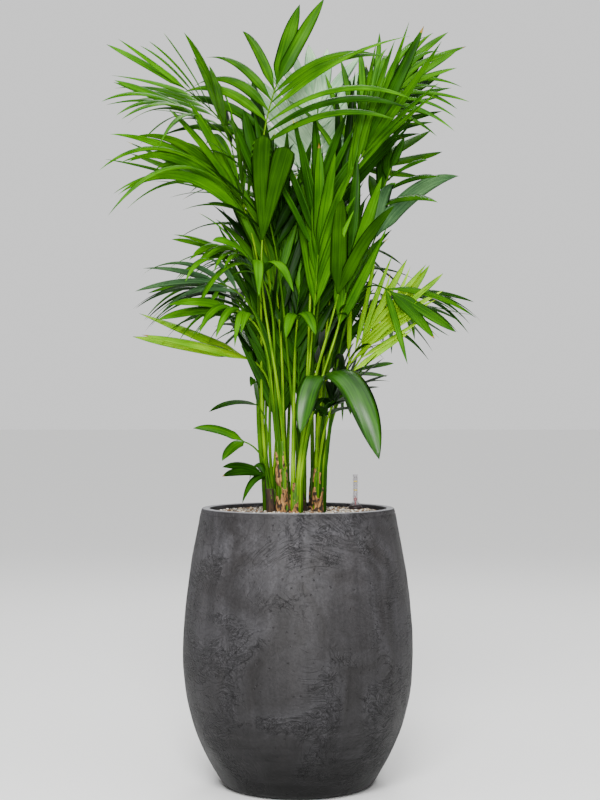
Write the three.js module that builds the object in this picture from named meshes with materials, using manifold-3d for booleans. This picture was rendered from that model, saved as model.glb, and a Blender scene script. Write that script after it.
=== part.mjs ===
// A kentia palm (Howea forsteriana): a clump of young stems in one egg-shaped planter.
// Millimetres and degrees, +Z up. The origin is the middle of the planter's flat underside.

import * as THREE from "three";
import Module from "manifold-3d";

const wasm = await Module();
wasm.setup();

// Planter of fibre clay, filled nearly to the rim with mineral granulate.
const planter = {
  height: 649,
  rimRadius: 226,
  bellyRadius: 270.5,
  bellyHeight: 318,
  footRadius: 171,
  footRound: 18,
  wall: 19,
  floor: 26,
  lipRound: 3,
  shoulderPower: 1.7,
  heelPower: 2.3,
  outerLevels: [8, 40, 85, 140, 210, 318, 410, 500, 580],
  innerLevels: [60, 135, 260, 385, 515, 580],
  segments: 40,
};
const granulate = { level: 640, edgeDrop: 5, edgeWidth: 24, clearance: 0.3 };

// Water gauge that stands in the granulate: a clear tube on a cone and a dark collar.
const gauge = {
  x: 138,
  y: 90,
  collarRadius: 17,
  collarHeight: 9,
  neckRadius: 12,
  coneHeight: 10,
  tubeRadius: 6.2,
  tubeWall: 1.4,
  tubeHeight: 64,
  pinRadius: 2.2,
  pinHeight: 22,
  segments: 20,
};

const clear = 0.3; // pieces that touch keep this gap
const nearest = 0.27; // no two pieces of the palm come nearer than this

// Each stem is a bundle of old leaf sheaths, cut flat at the granulate and at its top.
const stemSides = 8;
const stems = [
  { name: "stem_front_left", x: -36, y: -34, height: 165, radius: 13.5, leanX: -5, leanY: -4 },
  { name: "stem_front", x: -6, y: -58, height: 70, radius: 13, leanX: 1, leanY: -4 },
  { name: "stem_left", x: -62, y: 14, height: 75, radius: 13, leanX: -5, leanY: 0 },
  { name: "stem_right", x: 46, y: -22, height: 105, radius: 13.5, leanX: 4, leanY: -3 },
  { name: "stem_middle", x: 6, y: 8, height: 130, radius: 13, leanX: 1, leanY: 2 },
  { name: "stem_back_left", x: -30, y: 58, height: 110, radius: 13, leanX: -3, leanY: 5 },
  { name: "stem_back_right", x: 38, y: 54, height: 100, radius: 13, leanX: 4, leanY: 5 },
  { name: "stem_small", x: -63, y: -37, height: 55, radius: 8, leanX: -3, leanY: -1 },
];
const stemTopShare = 0.94;

// A frond: its stem, the heading of its arch, how far and how high the rachis reaches,
// the slope of its end, the leafy length, the pairs of leaflets below the last one,
// the longest leaflet, the last pair's share of that, a leaflet's width, how far the
// lowest pair spreads from the rachis, how much they hang, the roll of its plane, and
// how much longer the leaflets on its right are.
const columns = [
  "stem",
  "heading",
  "reach",
  "height",
  "slope",
  "blade",
  "pairs",
  "length",
  "taper",
  "width",
  "spread",
  "hang",
  "roll",
  "skew",
];
const fronds = {
  frond_top: [2, 30, 14, 1650, 68, 155, 6, 450, 0.52, 26, 64, 0.8, 20, 0.03],
  frond_bifid: [0, 239, 89, 1266, 97, 0, 0, 260, 1, 54, 9, 0.12, -149, 0],
  frond_upper_left: [2, 205, 80, 1371, 66, 53, 3, 502, 0.45, 30, 43, 0.94, 129, 0.09],
  frond_left_arching: [2, 220, 85, 1358, 43, 5, 1, 524, 0.55, 22, 30, 1.2, -35, -0.34],
  frond_left_bundle: [2, 196, 197, 1618, 33, 120, 5, 340, 0.61, 24, 55, 0.4, 4, 0.04],
  frond_left_dark: [5, 154, 94, 1535, 56, 115, 1, 298, 1, 42, 17, 0.05, -3, 0.05],
  frond_left_middle: [2, 194, 90, 1238, 25, 60, 4, 205, 0.8, 22, 44, 1.4, 10, 0],
  frond_left_hanging: [0, 228, 106, 1215, 30, 50, 2, 205, 0.9, 28, 50, 2.6, 0, 0],
  frond_left_drooping: [0, 205, 125, 1110, 15, 60, 2, 190, 0.9, 26, 50, 1.8, 0, 0],
  frond_left_low: [0, 158, 93, 1002, 20, 20, 1, 367, 0.82, 26, 46, 0.16, -9, 0.12],
  frond_small_1: [7, 190, 31, 889, 51, 20, 0, 163, 0.9, 24, 43, 1.2, 35, -0.1],
  frond_small_2: [7, 211, 71, 805, 17, 0, 0, 123, 1, 25, 33, 0.74, -36, 0.07],
  frond_small_3: [7, 172, 20, 728, 27, 10, 1, 111, 1, 20, 39, 2.5, -38, 0],
  frond_front_right: [3, 274, 133, 951, 17, 0, 0, 277, 1, 64, 30, 3.8, 7, -0.22],
  frond_right_low: [3, 29, 79, 964, 10, 20, 2, 139, 0.88, 28, 90, 0.77, -53, 0.03],
  frond_right_fan: [3, 1, 190, 1110, 48, 180, 5, 190, 0.7, 14, 22, 0.1, 85, 0],
  frond_right_arch: [3, 39, 228, 1146, -30, 20, 2, 219, 0.95, 26, 46, 0.08, -19, -0.1],
  frond_right_broad: [1, 308, 156, 1138, 68, 0, 0, 268, 1, 38, 13, 0.9, 114, 0.01],
  frond_right_upper: [6, 311, 263, 1426, 62, 97, 3, 225, 0.3, 32, 58, 0.36, 72, 0.46],
  frond_right_bundle: [6, 31, 240, 1703, 35, 293, 6, 220, 1, 28, 37, 0.69, 47, -0.09],
  frond_right_dark: [4, 32, 258, 1624, 50, 158, 5, 205, 1, 28, 36, 0.41, 43, -0.13],
  frond_back_pale: [4, 76, 177, 1620, 84, 180, 4, 290, 0.6, 34, 40, 0.3, -166, 0],
  frond_centre: [1, 358, 52, 1373, 82, 120, 2, 250, 0.8, 24, 26, 0.3, -90, 0],
  frond_centre_left: [0, 110, 60, 1200, 80, 110, 2, 260, 0.8, 34, 24, 0.4, -30, 0],
  frond_centre_right: [3, 60, 70, 1190, 76, 110, 2, 270, 0.8, 34, 24, 0.4, 30, 0],
  frond_centre_back: [4, 140, 70, 1230, 78, 150, 3, 290, 0.8, 36, 24, 0.4, -50, 0],
  frond_inner_front: [1, 275, 50, 1085, 40, 0, 0, 120, 1, 30, 20, 3, 0, 0],
  frond_inner_left: [5, 240, 70, 1050, 70, 60, 1, 220, 0.9, 30, 40, 0.9, -20, 0],
  frond_inner_right: [4, 320, 90, 1060, 64, 90, 2, 200, 0.9, 28, 40, 0.9, 30, 0],
  frond_inner_low: [3, 300, 70, 900, 60, 40, 1, 118, 0.9, 26, 46, 1.6, 0, 0],
  frond_back_high: [5, 100, 250, 1490, 40, 260, 4, 300, 0.7, 32, 50, 1, 0, 0],
  frond_back_1: [6, 95, 240, 1330, 30, 240, 4, 320, 0.7, 34, 56, 1.3, 0, 0],
  frond_back_2: [5, 80, 300, 1180, 10, 240, 4, 290, 0.7, 34, 60, 1.4, 0, 0],
  frond_back_3: [5, 135, 270, 1190, 5, 220, 4, 290, 0.7, 28, 56, 1.4, 0, 0],
  frond_back_4: [6, 35, 280, 1170, 5, 220, 4, 290, 0.7, 28, 56, 1.4, 0, 0],
  frond_back_5: [4, 200, 100, 1400, 72, 150, 3, 270, 0.7, 28, 36, 0.8, -60, 0],
};

// The arch of a petiole and rachis: its half-width at the tip, the pieces it is drawn in,
// the slope it leaves its stem at, and how far its two ends keep their slopes.
const rachis = { tipRadius: 2, pieces: 7, baseSlope: 82, rise: 0.46, tail: 0.34 };
// Along a leaflet: where its rings lie, and how wide they are beside the widest. Its
// thickness is a share of its length, and bend says how late it starts to hang.
const leaflet = {
  stations: [0, 0.33, 0.67, 1],
  widths: [0.12, 1, 0.78, 0],
  thickness: 0.0125,
  bend: 1.1,
  steps: 12,
};
// How the leaflets change from the lowest pair to the last one.
const pairing = {
  closing: 0.4,
  lowestShorter: 0.1,
  taperPower: 1.6,
  evening: 0.7,
  stagger: 0.008,
  last: { spread: 9, width: 1.25, hang: 0.25 },
};
// How far one leaflet may differ from its neighbours: degrees, then shares of its own size.
const vary = { spread: 4, length: 0.07, width: 0.12, hang: 0.25 };
// Tried in turn until a rachis is clear of the others: millimetres that it bows sideways.
const sways = [0, 10, -10, 20, -20, 30, -30, 40, -40, 52, -52, 64, -64];
// Tried in turn until a leaflet is clear of the other fronds: degrees out of the frond's plane.
const lifts = [0, 7, -7, 14, -14, 22, -22, 30, -30];

const up = new THREE.Vector3(0, 0, 1);
const radians = THREE.MathUtils.degToRad;
const round = (angle) => new THREE.Vector3(Math.cos(radians(angle)), Math.sin(radians(angle)), 0);
// A steady share between -1 and 1 that differs from leaflet to leaflet.
const share = (count) => 2 * ((count * 0.6180339887) % 1) - 1;

function material(color, roughness, options = {}) {
  return new THREE.MeshStandardMaterial({ color, roughness, metalness: 0, ...options });
}

const finishes = {
  clay: material("#5b5a5b", 0.85),
  mineral: material("#b9aa92", 0.95),
  clear: material("#dfe4e2", 0.15),
  collar: material("#3a2a2a", 0.5),
  red: material("#b3372b", 0.4),
  sheath: material("#66602c", 0.8),
  leaf: material("#4c8a0e", 0.45),
};

// Solids ------------------------------------------------------------------------------

// A closed solid of revolution about Z from a profile of [radius, height] points.
function turned(profile, segments) {
  const points = profile.map(([radius, height]) => new THREE.Vector2(radius, height));
  const geometry = new THREE.LatheGeometry(points, segments);
  geometry.rotateX(Math.PI / 2);
  return geometry;
}

// A closed solid through rings of as many points each; a ring of one point is a tip. A face
// that isn't flat is cut along the diagonal that bulges out, so thin blades stay thick.
function lofted(rings) {
  const positions = [];
  const triangles = [];
  const starts = rings.map((ring) => {
    const start = positions.length / 3;
    ring.forEach((point) => positions.push(point.x, point.y, point.z));
    return start;
  });
  const sides = rings[0].length;
  for (let k = 0; k + 1 < rings.length; k++) {
    for (let i = 0; i < sides; i++) {
      const j = (i + 1) % sides;
      const a = starts[k] + i;
      const b = starts[k] + j;
      if (rings[k + 1].length === 1) {
        triangles.push(a, b, starts[k + 1]);
        continue;
      }
      const c = starts[k + 1] + j;
      const d = starts[k + 1] + i;
      const one = rings[k + 1][j].clone().sub(rings[k][i]);
      const other = rings[k + 1][i].clone().sub(rings[k][j]);
      const apart = rings[k][i].clone().add(rings[k + 1][j]).sub(rings[k][j]).sub(rings[k + 1][i]);
      const bulges = apart.dot(one.cross(other)) >= 0;
      triangles.push(...(bulges ? [a, b, c, a, c, d] : [a, b, d, b, c, d]));
    }
  }
  for (let i = 1; i + 1 < sides; i++) triangles.push(0, i + 1, i);
  const last = starts[rings.length - 1];
  if (rings[rings.length - 1].length > 1) {
    for (let i = 1; i + 1 < sides; i++) triangles.push(last, last + i, last + i + 1);
  }
  const solid = new wasm.Manifold(
    new wasm.Mesh({
      numProp: 3,
      vertProperties: new Float32Array(positions),
      triVerts: new Uint32Array(triangles),
    }),
  );
  return solid;
}

function geometryOf(solid) {
  const { numProp, vertProperties, triVerts } = solid.getMesh();
  const points = new Float32Array((vertProperties.length / numProp) * 3);
  for (let i = 0; i < points.length / 3; i++) {
    points.set(vertProperties.subarray(i * numProp, i * numProp + 3), i * 3);
  }
  const geometry = new THREE.BufferGeometry();
  geometry.setAttribute("position", new THREE.BufferAttribute(points, 3));
  geometry.setIndex(new THREE.BufferAttribute(new Uint32Array(triVerts), 1));
  geometry.computeVertexNormals();
  return geometry;
}

function named(name, geometry, finish) {
  const mesh = new THREE.Mesh(geometry, finish.clone());
  mesh.name = name;
  return mesh;
}

// Planter -----------------------------------------------------------------------------

function outerRadius(height) {
  const { bellyHeight, bellyRadius, rimRadius, footRadius, shoulderPower, heelPower } = planter;
  if (height >= bellyHeight) {
    const rise = (height - bellyHeight) / (planter.height - bellyHeight);
    return bellyRadius - (bellyRadius - rimRadius) * rise ** shoulderPower;
  }
  const fall = (bellyHeight - height) / bellyHeight;
  return bellyRadius - (bellyRadius - footRadius) * fall ** heelPower;
}

// The planter's inner wall from its foot to its lip, straight between its levels.
function innerWall() {
  const { height, wall, lipRound, innerLevels } = planter;
  const lip = [outerRadius(height) - wall, height - lipRound];
  return [...innerLevels.map((level) => [outerRadius(level) - wall, level]), lip];
}

function innerRadius(level) {
  const wall = innerWall();
  const above = wall.findIndex((point) => point[1] > level);
  const [low, high] = [wall[above - 1], wall[above]];
  return THREE.MathUtils.mapLinear(level, low[1], high[1], low[0], high[0]);
}

function planterProfile() {
  const { height, footRound, wall, floor, lipRound, outerLevels } = planter;
  return [
    [0, 0],
    [outerRadius(0) - footRound, 0],
    ...outerLevels.map((level) => [outerRadius(level), level]),
    [outerRadius(height), height - lipRound],
    [outerRadius(height) - lipRound, height],
    [outerRadius(height) - wall + lipRound, height],
    ...innerWall().reverse(),
    [outerRadius(floor) - wall * 2, floor],
    [0, floor],
  ];
}

function granulateProfile() {
  const { wall, floor, innerLevels } = planter;
  const { level, edgeDrop, edgeWidth, clearance } = granulate;
  const brim = level - edgeDrop;
  return [
    [0, floor + clearance],
    [outerRadius(floor) - wall * 2 - clearance, floor + clearance],
    ...innerLevels.map((height) => [innerRadius(height) - clearance, height]),
    [innerRadius(brim) - clearance, brim],
    [innerRadius(brim) - edgeWidth, level],
    [0, level],
  ];
}

function gaugeMeshes() {
  const { collarRadius, collarHeight, neckRadius, coneHeight, tubeRadius, tubeWall } = gauge;
  const { tubeHeight, pinRadius, pinHeight, segments } = gauge;
  const collar = [
    [0, 0],
    [collarRadius, 0],
    [collarRadius, collarHeight * 0.5],
    [neckRadius, collarHeight],
    [0, collarHeight],
  ];
  // the cone and the tube are one clear cap, open below, over the float's pin
  const cap = [
    [neckRadius - tubeWall, 0],
    [neckRadius, 0],
    [tubeRadius, coneHeight],
    [tubeRadius, coneHeight + tubeHeight - 1],
    [tubeRadius - 1, coneHeight + tubeHeight],
    [0, coneHeight + tubeHeight],
    [0, coneHeight + tubeHeight - tubeWall],
    [tubeRadius - tubeWall, coneHeight + tubeHeight - tubeWall],
    [tubeRadius - tubeWall, coneHeight],
    [neckRadius - tubeWall, 0],
  ];
  const pin = [
    [0, 0],
    [pinRadius, 0],
    [pinRadius, pinHeight],
    [0, pinHeight],
  ];
  const group = new THREE.Group();
  group.position.set(gauge.x, gauge.y, granulate.level + clear);
  const above = collarHeight + clear;
  const capMesh = named("gauge_tube", turned(cap, segments), finishes.clear);
  const pinMesh = named("gauge_float", turned(pin, 8), finishes.red);
  capMesh.position.z = above;
  pinMesh.position.z = above;
  group.add(named("gauge_collar", turned(collar, segments), finishes.collar), capMesh, pinMesh);
  return group;
}

// Palm --------------------------------------------------------------------------------

function stemTop(stem) {
  return new THREE.Vector3(
    stem.x + stem.leanX,
    stem.y + stem.leanY,
    granulate.level + clear + stem.height,
  );
}

// Rings of a stem: a slight flare at the foot, then a steady taper to the flat top.
function stemSolid(stem) {
  const foot = new THREE.Vector3(stem.x, stem.y, granulate.level + clear);
  const top = stemTop(stem);
  const rings = [
    [0, 1.18],
    [0.16, 1],
    [1, stemTopShare],
  ].map(([along, wide]) => {
    const middle = foot.clone().lerp(top, along);
    return Array.from({ length: stemSides }, (_, i) =>
      middle.clone().addScaledVector(round((360 * i) / stemSides), stem.radius * wide),
    );
  });
  return lofted(rings);
}

// The fronds by name. Those of one stem stand in a ring on its top, in the order of their
// headings, as wide as the ring has room for.
function frondsOf() {
  const list = Object.entries(fronds).map(([name, row]) => ({
    name,
    ...Object.fromEntries(columns.map((column, i) => [column, row[i]])),
  }));
  stems.forEach((stem, i) => {
    const ring = list.filter((frond) => frond.stem === i).sort((a, b) => a.heading - b.heading);
    const step = 360 / ring.length;
    const turn = ring.reduce((sum, frond, k) => sum + frond.heading - k * step, 0) / ring.length;
    const half = Math.sin(radians(step / 2));
    const room = (stem.radius * stemTopShare * half - clear) / (1 + half);
    ring.forEach((frond, k) => {
      frond.radius = room;
      frond.seat = round(turn + k * step).multiplyScalar(stem.radius * stemTopShare - room);
    });
  });
  return list;
}

// The arch of a frond, from its seat on the stem to the end of the rachis.
function archOf(frond, sway) {
  const stem = stems[frond.stem];
  const out = round(frond.heading);
  const bow = round(frond.heading + 90).multiplyScalar(sway);
  const seat = stemTop(stem).add(frond.seat);
  seat.z += clear;
  const end = new THREE.Vector3(stem.x, stem.y, 0).addScaledVector(out, frond.reach);
  end.z = frond.height;
  const span = seat.distanceTo(end);
  const slanted = (slope, length) =>
    out.clone().multiplyScalar(Math.cos(radians(slope))).addScaledVector(up, Math.sin(radians(slope)))
      .multiplyScalar(length);
  return new THREE.CubicBezierCurve3(
    seat,
    seat.clone().add(slanted(rachis.baseSlope, span * rachis.rise)).add(bow),
    end.clone().sub(slanted(frond.slope, span * rachis.tail)).add(bow),
    end,
  );
}

// The way along the rachis, the way out to its left, and the upper face's normal.
function frameAt(arch, frond, along) {
  const forward = arch.getTangentAt(along);
  const level = round(frond.heading + 90);
  const face = new THREE.Vector3().crossVectors(forward, level).normalize();
  const roll = radians(frond.roll);
  const side = level.clone().multiplyScalar(Math.cos(roll)).addScaledVector(face, Math.sin(roll));
  const normal = new THREE.Vector3().crossVectors(forward, side).normalize();
  return { forward, side, normal };
}

// A point on the rachis as it is drawn, which is in straight pieces.
function onRachis(arch, along) {
  const piece = Math.min(Math.floor(along * rachis.pieces), rachis.pieces - 1);
  const [from, to] = [piece, piece + 1].map((k) => arch.getPointAt(k / rachis.pieces));
  return from.lerp(to, along * rachis.pieces - piece);
}

function rachisSolid(arch, frond) {
  const rings = [];
  for (let k = 0; k <= rachis.pieces; k++) {
    const along = k / rachis.pieces;
    const middle = arch.getPointAt(along);
    const { side, normal } = frameAt(arch, { ...frond, roll: 0 }, along);
    const radius = frond.radius + (rachis.tipRadius - frond.radius) * along;
    const flat = k === 0;
    const across = flat ? round(frond.heading + 90) : side;
    const deep = flat ? round(frond.heading) : normal.clone().negate();
    rings.push(
      [45, 135, 225, 315].map((angle) =>
        middle
          .clone()
          .addScaledVector(deep, radius * Math.cos(radians(angle)))
          .addScaledVector(across, radius * Math.sin(radians(angle))),
      ),
    );
  }
  return lofted(rings);
}

// Where every leaflet of a frond starts, which way it goes, and its size. A frond with
// no pair below the last one ends in two blades that spread as its own row says.
function leafletsOf(arch, frond, seed) {
  const list = [];
  const whole = arch.getLength();
  for (let pair = 0; pair <= frond.pairs; pair++) {
    const last = frond.pairs > 0 && pair === frond.pairs;
    const part = frond.pairs ? pair / frond.pairs : 0;
    const along = frond.pairs ? 1 - (frond.blade / whole) * (1 - part) : 1;
    const lowest = pairing.lowestShorter * (1 - part) ** 4;
    const long = frond.length * (1 - lowest - (1 - frond.taper) * part ** pairing.taperPower);
    const skew = frond.skew * (1 - pairing.evening * part);
    for (const hand of [1, -1]) {
      const count = seed * 31 + pair * 2 + (hand > 0 ? 1 : 0);
      const open = frond.spread * (1 - pairing.closing * part) + vary.spread * share(count + 0.3);
      list.push({
        along: Math.min(1, along + (hand > 0 ? pairing.stagger : 0)),
        hand,
        spread: last ? pairing.last.spread : open,
        length: long * (1 - hand * skew) * (1 + vary.length * share(count)),
        width: frond.width * (last ? pairing.last.width : 1) * (1 + vary.width * share(count + 0.7)),
        hang: frond.hang * (last ? pairing.last.hang : 1) * (1 + vary.hang * share(count + 0.5)),
      });
    }
  }
  return list;
}

function leafletSolid(arch, frond, item, lift) {
  const { forward, side, normal } = frameAt(arch, frond, item.along);
  const spread = radians(item.spread);
  const out = side.clone().multiplyScalar(item.hand);
  const start = forward.clone().multiplyScalar(Math.cos(spread)).addScaledVector(out, Math.sin(spread));
  start.multiplyScalar(Math.cos(radians(lift))).addScaledVector(normal, Math.sin(radians(lift)));
  const across = new THREE.Vector3().crossVectors(normal, start).normalize();
  const place = onRachis(arch, item.along);
  const rings = [];
  let next = 0;
  for (let k = 0; k <= leaflet.steps; k++) {
    const t = k / leaflet.steps;
    const way = start.clone().addScaledVector(up, -item.hang * t ** leaflet.bend).normalize();
    while (next < leaflet.stations.length && leaflet.stations[next] <= t + 0.5 / leaflet.steps) {
      const half = (item.width * leaflet.widths[next]) / 2;
      const flat = across.clone().addScaledVector(way, -across.dot(way)).normalize();
      const under = new THREE.Vector3().crossVectors(flat, way).normalize();
      const deep = item.length * leaflet.thickness;
      rings.push(
        half > 0
          ? [
              place.clone().addScaledVector(flat, -half),
              place.clone().addScaledVector(under, deep),
              place.clone().addScaledVector(flat, half),
            ]
          : [place.clone()],
      );
      next += 1;
    }
    place.addScaledVector(way, item.length / leaflet.steps);
  }
  return lofted(rings);
}

function boxesMeet(a, b) {
  const p = a.boundingBox();
  const q = b.boundingBox();
  return [0, 1, 2].every((i) => p.min[i] - clear <= q.max[i] && q.min[i] - clear <= p.max[i]);
}

function isClear(solid, others) {
  return !others.some((other) => boxesMeet(solid, other) && solid.minGap(other, clear) < nearest);
}

// The first of some ways to grow a piece that is clear of the others.
function firstClear(ways, grow, others) {
  for (const way of ways) {
    const found = grow(way);
    if (isClear(found.solid, others)) return found;
  }
  return null;
}

// Every frond's rachis comes first, so a leaflet gives way to any rachis it would touch.
function palmMeshes() {
  const palm = new THREE.Group();
  const clumps = stems.map((stem) => {
    const clump = new THREE.Group();
    clump.position.set(stem.x, stem.y, granulate.level + clear);
    palm.add(clump);
    return clump;
  });
  const place = (name, solid, finish, index) => {
    const { x, y, z } = clumps[index].position;
    clumps[index].add(named(name, geometryOf(solid).translate(-x, -y, -z), finish));
  };
  const stemSolids = stems.map(stemSolid);
  stems.forEach((stem, i) => place(stem.name, stemSolids[i], finishes.sheath, i));

  const grown = [];
  frondsOf().forEach((frond, i) => {
    const grow = (sway) => {
      const arch = archOf(frond, sway);
      return { arch, solid: rachisSolid(arch, frond) };
    };
    const found = firstClear(sways, grow, [...stemSolids, ...grown.map((one) => one.pieces[0])]);
    grown.push({ frond, arch: found.arch, seed: i + 1, pieces: [found.solid] });
  });
  for (const one of grown) {
    const others = [
      ...stemSolids,
      ...grown.filter((other) => other !== one).flatMap((other) => other.pieces),
    ];
    for (const item of leafletsOf(one.arch, one.frond, one.seed)) {
      const grow = (lift) => ({ solid: leafletSolid(one.arch, one.frond, item, lift) });
      const found = firstClear(lifts, grow, others);
      if (found) one.pieces.push(found.solid);
    }
    place(one.frond.name, wasm.Manifold.union(one.pieces), finishes.leaf, one.frond.stem);
  }
  return palm;
}

const part = new THREE.Group();
part.name = "kentia_palm";
part.add(
  named("planter", turned(planterProfile(), planter.segments), finishes.clay),
  named("granulate", turned(granulateProfile(), planter.segments), finishes.mineral),
  gaugeMeshes(),
  palmMeshes(),
);

export default part;
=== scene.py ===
import math

import bpy
import numpy as np
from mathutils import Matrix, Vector, kdtree, noise


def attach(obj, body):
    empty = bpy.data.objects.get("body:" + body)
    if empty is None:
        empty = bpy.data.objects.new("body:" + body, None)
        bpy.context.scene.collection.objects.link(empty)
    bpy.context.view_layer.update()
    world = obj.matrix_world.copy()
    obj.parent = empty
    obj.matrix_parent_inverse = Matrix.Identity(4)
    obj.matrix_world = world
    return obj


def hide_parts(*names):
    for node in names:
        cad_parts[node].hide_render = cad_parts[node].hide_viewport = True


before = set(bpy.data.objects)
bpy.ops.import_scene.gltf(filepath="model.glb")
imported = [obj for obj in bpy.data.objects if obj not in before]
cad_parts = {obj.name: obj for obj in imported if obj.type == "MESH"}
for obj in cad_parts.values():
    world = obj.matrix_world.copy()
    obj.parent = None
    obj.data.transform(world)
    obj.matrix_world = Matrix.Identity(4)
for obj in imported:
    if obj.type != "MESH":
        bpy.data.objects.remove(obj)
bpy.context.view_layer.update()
print("frame loaded")

mm = 0.001
clear = 0.3  # mm between pieces that meet
random = np.random.default_rng(17)
noise.seed_set(17)  # for noise_vector, whose offsets would else come from the clock

# The camera stands level with the middle of the fronds and looks along +Y; metres and degrees.
cameraView = {"distance": 3.85, "height": 0.885, "lens": 73.7, "sensor": 36, "tilt": 0.245, "turn": -0.07}


def addObject(name, data):
    made = bpy.data.objects.new(name, data)
    bpy.context.scene.collection.objects.link(made)
    return made


def addCamera():
    data = bpy.data.cameras.new("camera")
    data.lens = cameraView["lens"]
    data.sensor_width = cameraView["sensor"]
    made = addObject("camera", data)
    made.location = (0, -cameraView["distance"], cameraView["height"])
    made.rotation_euler = (math.radians(90 + cameraView["tilt"]), 0, math.radians(cameraView["turn"]))
    bpy.context.scene.camera = made


addCamera()
print("camera placed")


# Materials

def linear(code):
    # sRGB hex to the linear values Blender works in
    values = [int(code[i : i + 2], 16) / 255 for i in (1, 3, 5)]
    return tuple(v / 12.92 if v <= 0.04045 else ((v + 0.055) / 1.055) ** 2.4 for v in values) + (1,)


def addNode(material, kind, links=None, values=None, settings=None, ramp=()):
    # Adds one node with its settings, the values of its sockets, what feeds them and the stops of
    # its ramp. A node that is named as a source feeds its first output in use.
    made = material.node_tree.nodes.new("ShaderNode" + kind)
    for name, value in (settings or {}).items():
        setattr(made, name, value)
    for name, value in (values or {}).items():
        made.inputs[name].default_value = value
    for name, source in (links or {}).items():
        if isinstance(source, bpy.types.Node):
            source = next(output for output in source.outputs if output.enabled)
        material.node_tree.links.new(source, made.inputs[name])
    for k, (position, colour) in enumerate(ramp):
        stop = made.color_ramp.elements[k] if k < 2 else made.color_ramp.elements.new(position)
        stop.position, stop.color = position, colour
    return made


def scaleOf(size):
    # a pattern's scale from its size in millimetres
    return 1 / (size * mm)


def between(low, high, start=0, end=1):
    # a value that goes from start to end while what it is read from goes from low to high
    return {"From Min": low, "From Max": high, "To Min": start, "To Max": end}


def newMaterial(name):
    material = bpy.data.materials.new(name)
    material.use_nodes = True
    material.node_tree.nodes.clear()
    return material


def finishMaterial(material, values, links=None, relief=None):
    # relief gives the pattern that raises the surface, its strength and its height in millimetres
    links = dict(links or {})
    if relief:
        pattern, strength, height = relief
        links["Normal"] = addNode(
            material, "Bump", {"Height": pattern}, {"Strength": strength, "Distance": height * mm}
        )
    shader = addNode(material, "BsdfPrincipled", links, values)
    addNode(material, "OutputMaterial", {"Surface": shader})
    return material


leafFinish = {
    "veinWidth": 3.2,  # mm across; real veins are under 1 mm and wouldn't show
    "veinLength": 160,  # mm
    "mottle": 70,  # mm
    "mottleShare": 0.45,
    "edges": (0.4, 0.62),  # where the pattern turns from the base tone to the light one
    "relief": 0.35,  # mm
    "ior": 1.45,
    "gloss": 0.07,  # specular level; a matt wax bloom takes off most of the cuticle's shine
}


def leafMaterial(name, base, light, roughness, gloss=leafFinish["gloss"]):
    # Living leaf blade: waxy cuticle over parallel veins, which gives long soft highlights.
    material = newMaterial(name)
    place = addNode(material, "UVMap", settings={"uv_map": "blade"})
    stretch = (scaleOf(leafFinish["veinWidth"]), scaleOf(leafFinish["veinLength"]), 1)
    along = addNode(material, "Mapping", {"Vector": place}, {"Scale": stretch})
    veins = addNode(material, "TexNoise", {"Vector": along}, {"Scale": 1, "Detail": 2})
    where = addNode(material, "TexCoord").outputs["Object"]
    mottle = addNode(
        material, "TexNoise", {"Vector": where}, {"Scale": scaleOf(leafFinish["mottle"]), "Detail": 1}
    )
    mixed = addNode(material, "Mix", {"A": veins, "B": mottle}, {"Factor": leafFinish["mottleShare"]})
    low, high = leafFinish["edges"]
    tone = addNode(material, "ValToRGB", {"Fac": mixed}, ramp=((low, linear(base)), (high, linear(light))))
    values = {"Roughness": roughness, "IOR": leafFinish["ior"], "Specular IOR Level": gloss}
    return finishMaterial(material, values, {"Base Color": tone}, (veins, 0.5, leafFinish["relief"]))


# Tones of leaflets and stalks, from new growth to the shaded inner crown: material, base and light
# colour, roughness, and the gloss where it isn't the usual one.
leafTones = {
    "lime": ("leaf_new_growth", "#76b000", "#a8dc14", 0.5),
    "sunny": ("leaf_sunny", "#548e00", "#80ae00", 0.48),
    "bright": ("leaf_bright", "#285c00", "#468600", 0.5),
    "fresh": ("leaf_fresh", "#265600", "#468000", 0.48),
    "mid": ("leaf_mid", "#1c4600", "#386c00", 0.45),
    "deep": ("leaf_deep", "#0e2e00", "#235200", 0.42),
    "dark": ("leaf_dark", "#061b00", "#113300", 0.42),
    "mature": ("leaf_mature", "#143400", "#264e00", 0.6, 0.02),
    "glossy": ("leaf_mature_glossy", "#103400", "#2a5a06", 0.36, 0.36),
    "paleUnder": ("leaf_under_pale", "#8ab88a", "#b9d8b0", 0.6),
    "greyUnder": ("leaf_under_grey", "#2c4c2c", "#4c7044", 0.55),
    "yellowTip": ("leaf_tip_yellow", "#8a8c10", "#aaa838", 0.6),
    "brownTip": ("leaf_tip_dry", "#6a5016", "#8c7430", 0.75),
    "brightStalk": ("petiole_bright", "#306000", "#7ca600", 0.48),
    "greenStalk": ("petiole_green", "#183e00", "#467400", 0.48),
    "darkStalk": ("petiole_shaded", "#123200", "#285800", 0.5),
}
toneNames = list(leafTones)
lightToDark = toneNames[: toneNames.index("dark") + 1]
leafMaterials = [leafMaterial(*row) for row in leafTones.values()]

sheathFinish = {
    "fibreWidth": 1.8,  # mm
    "fibreLength": 14,
    "edges": (0.38, 0.62),
    "relief": 1.4,
    "roughness": 0.85,
}


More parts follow.
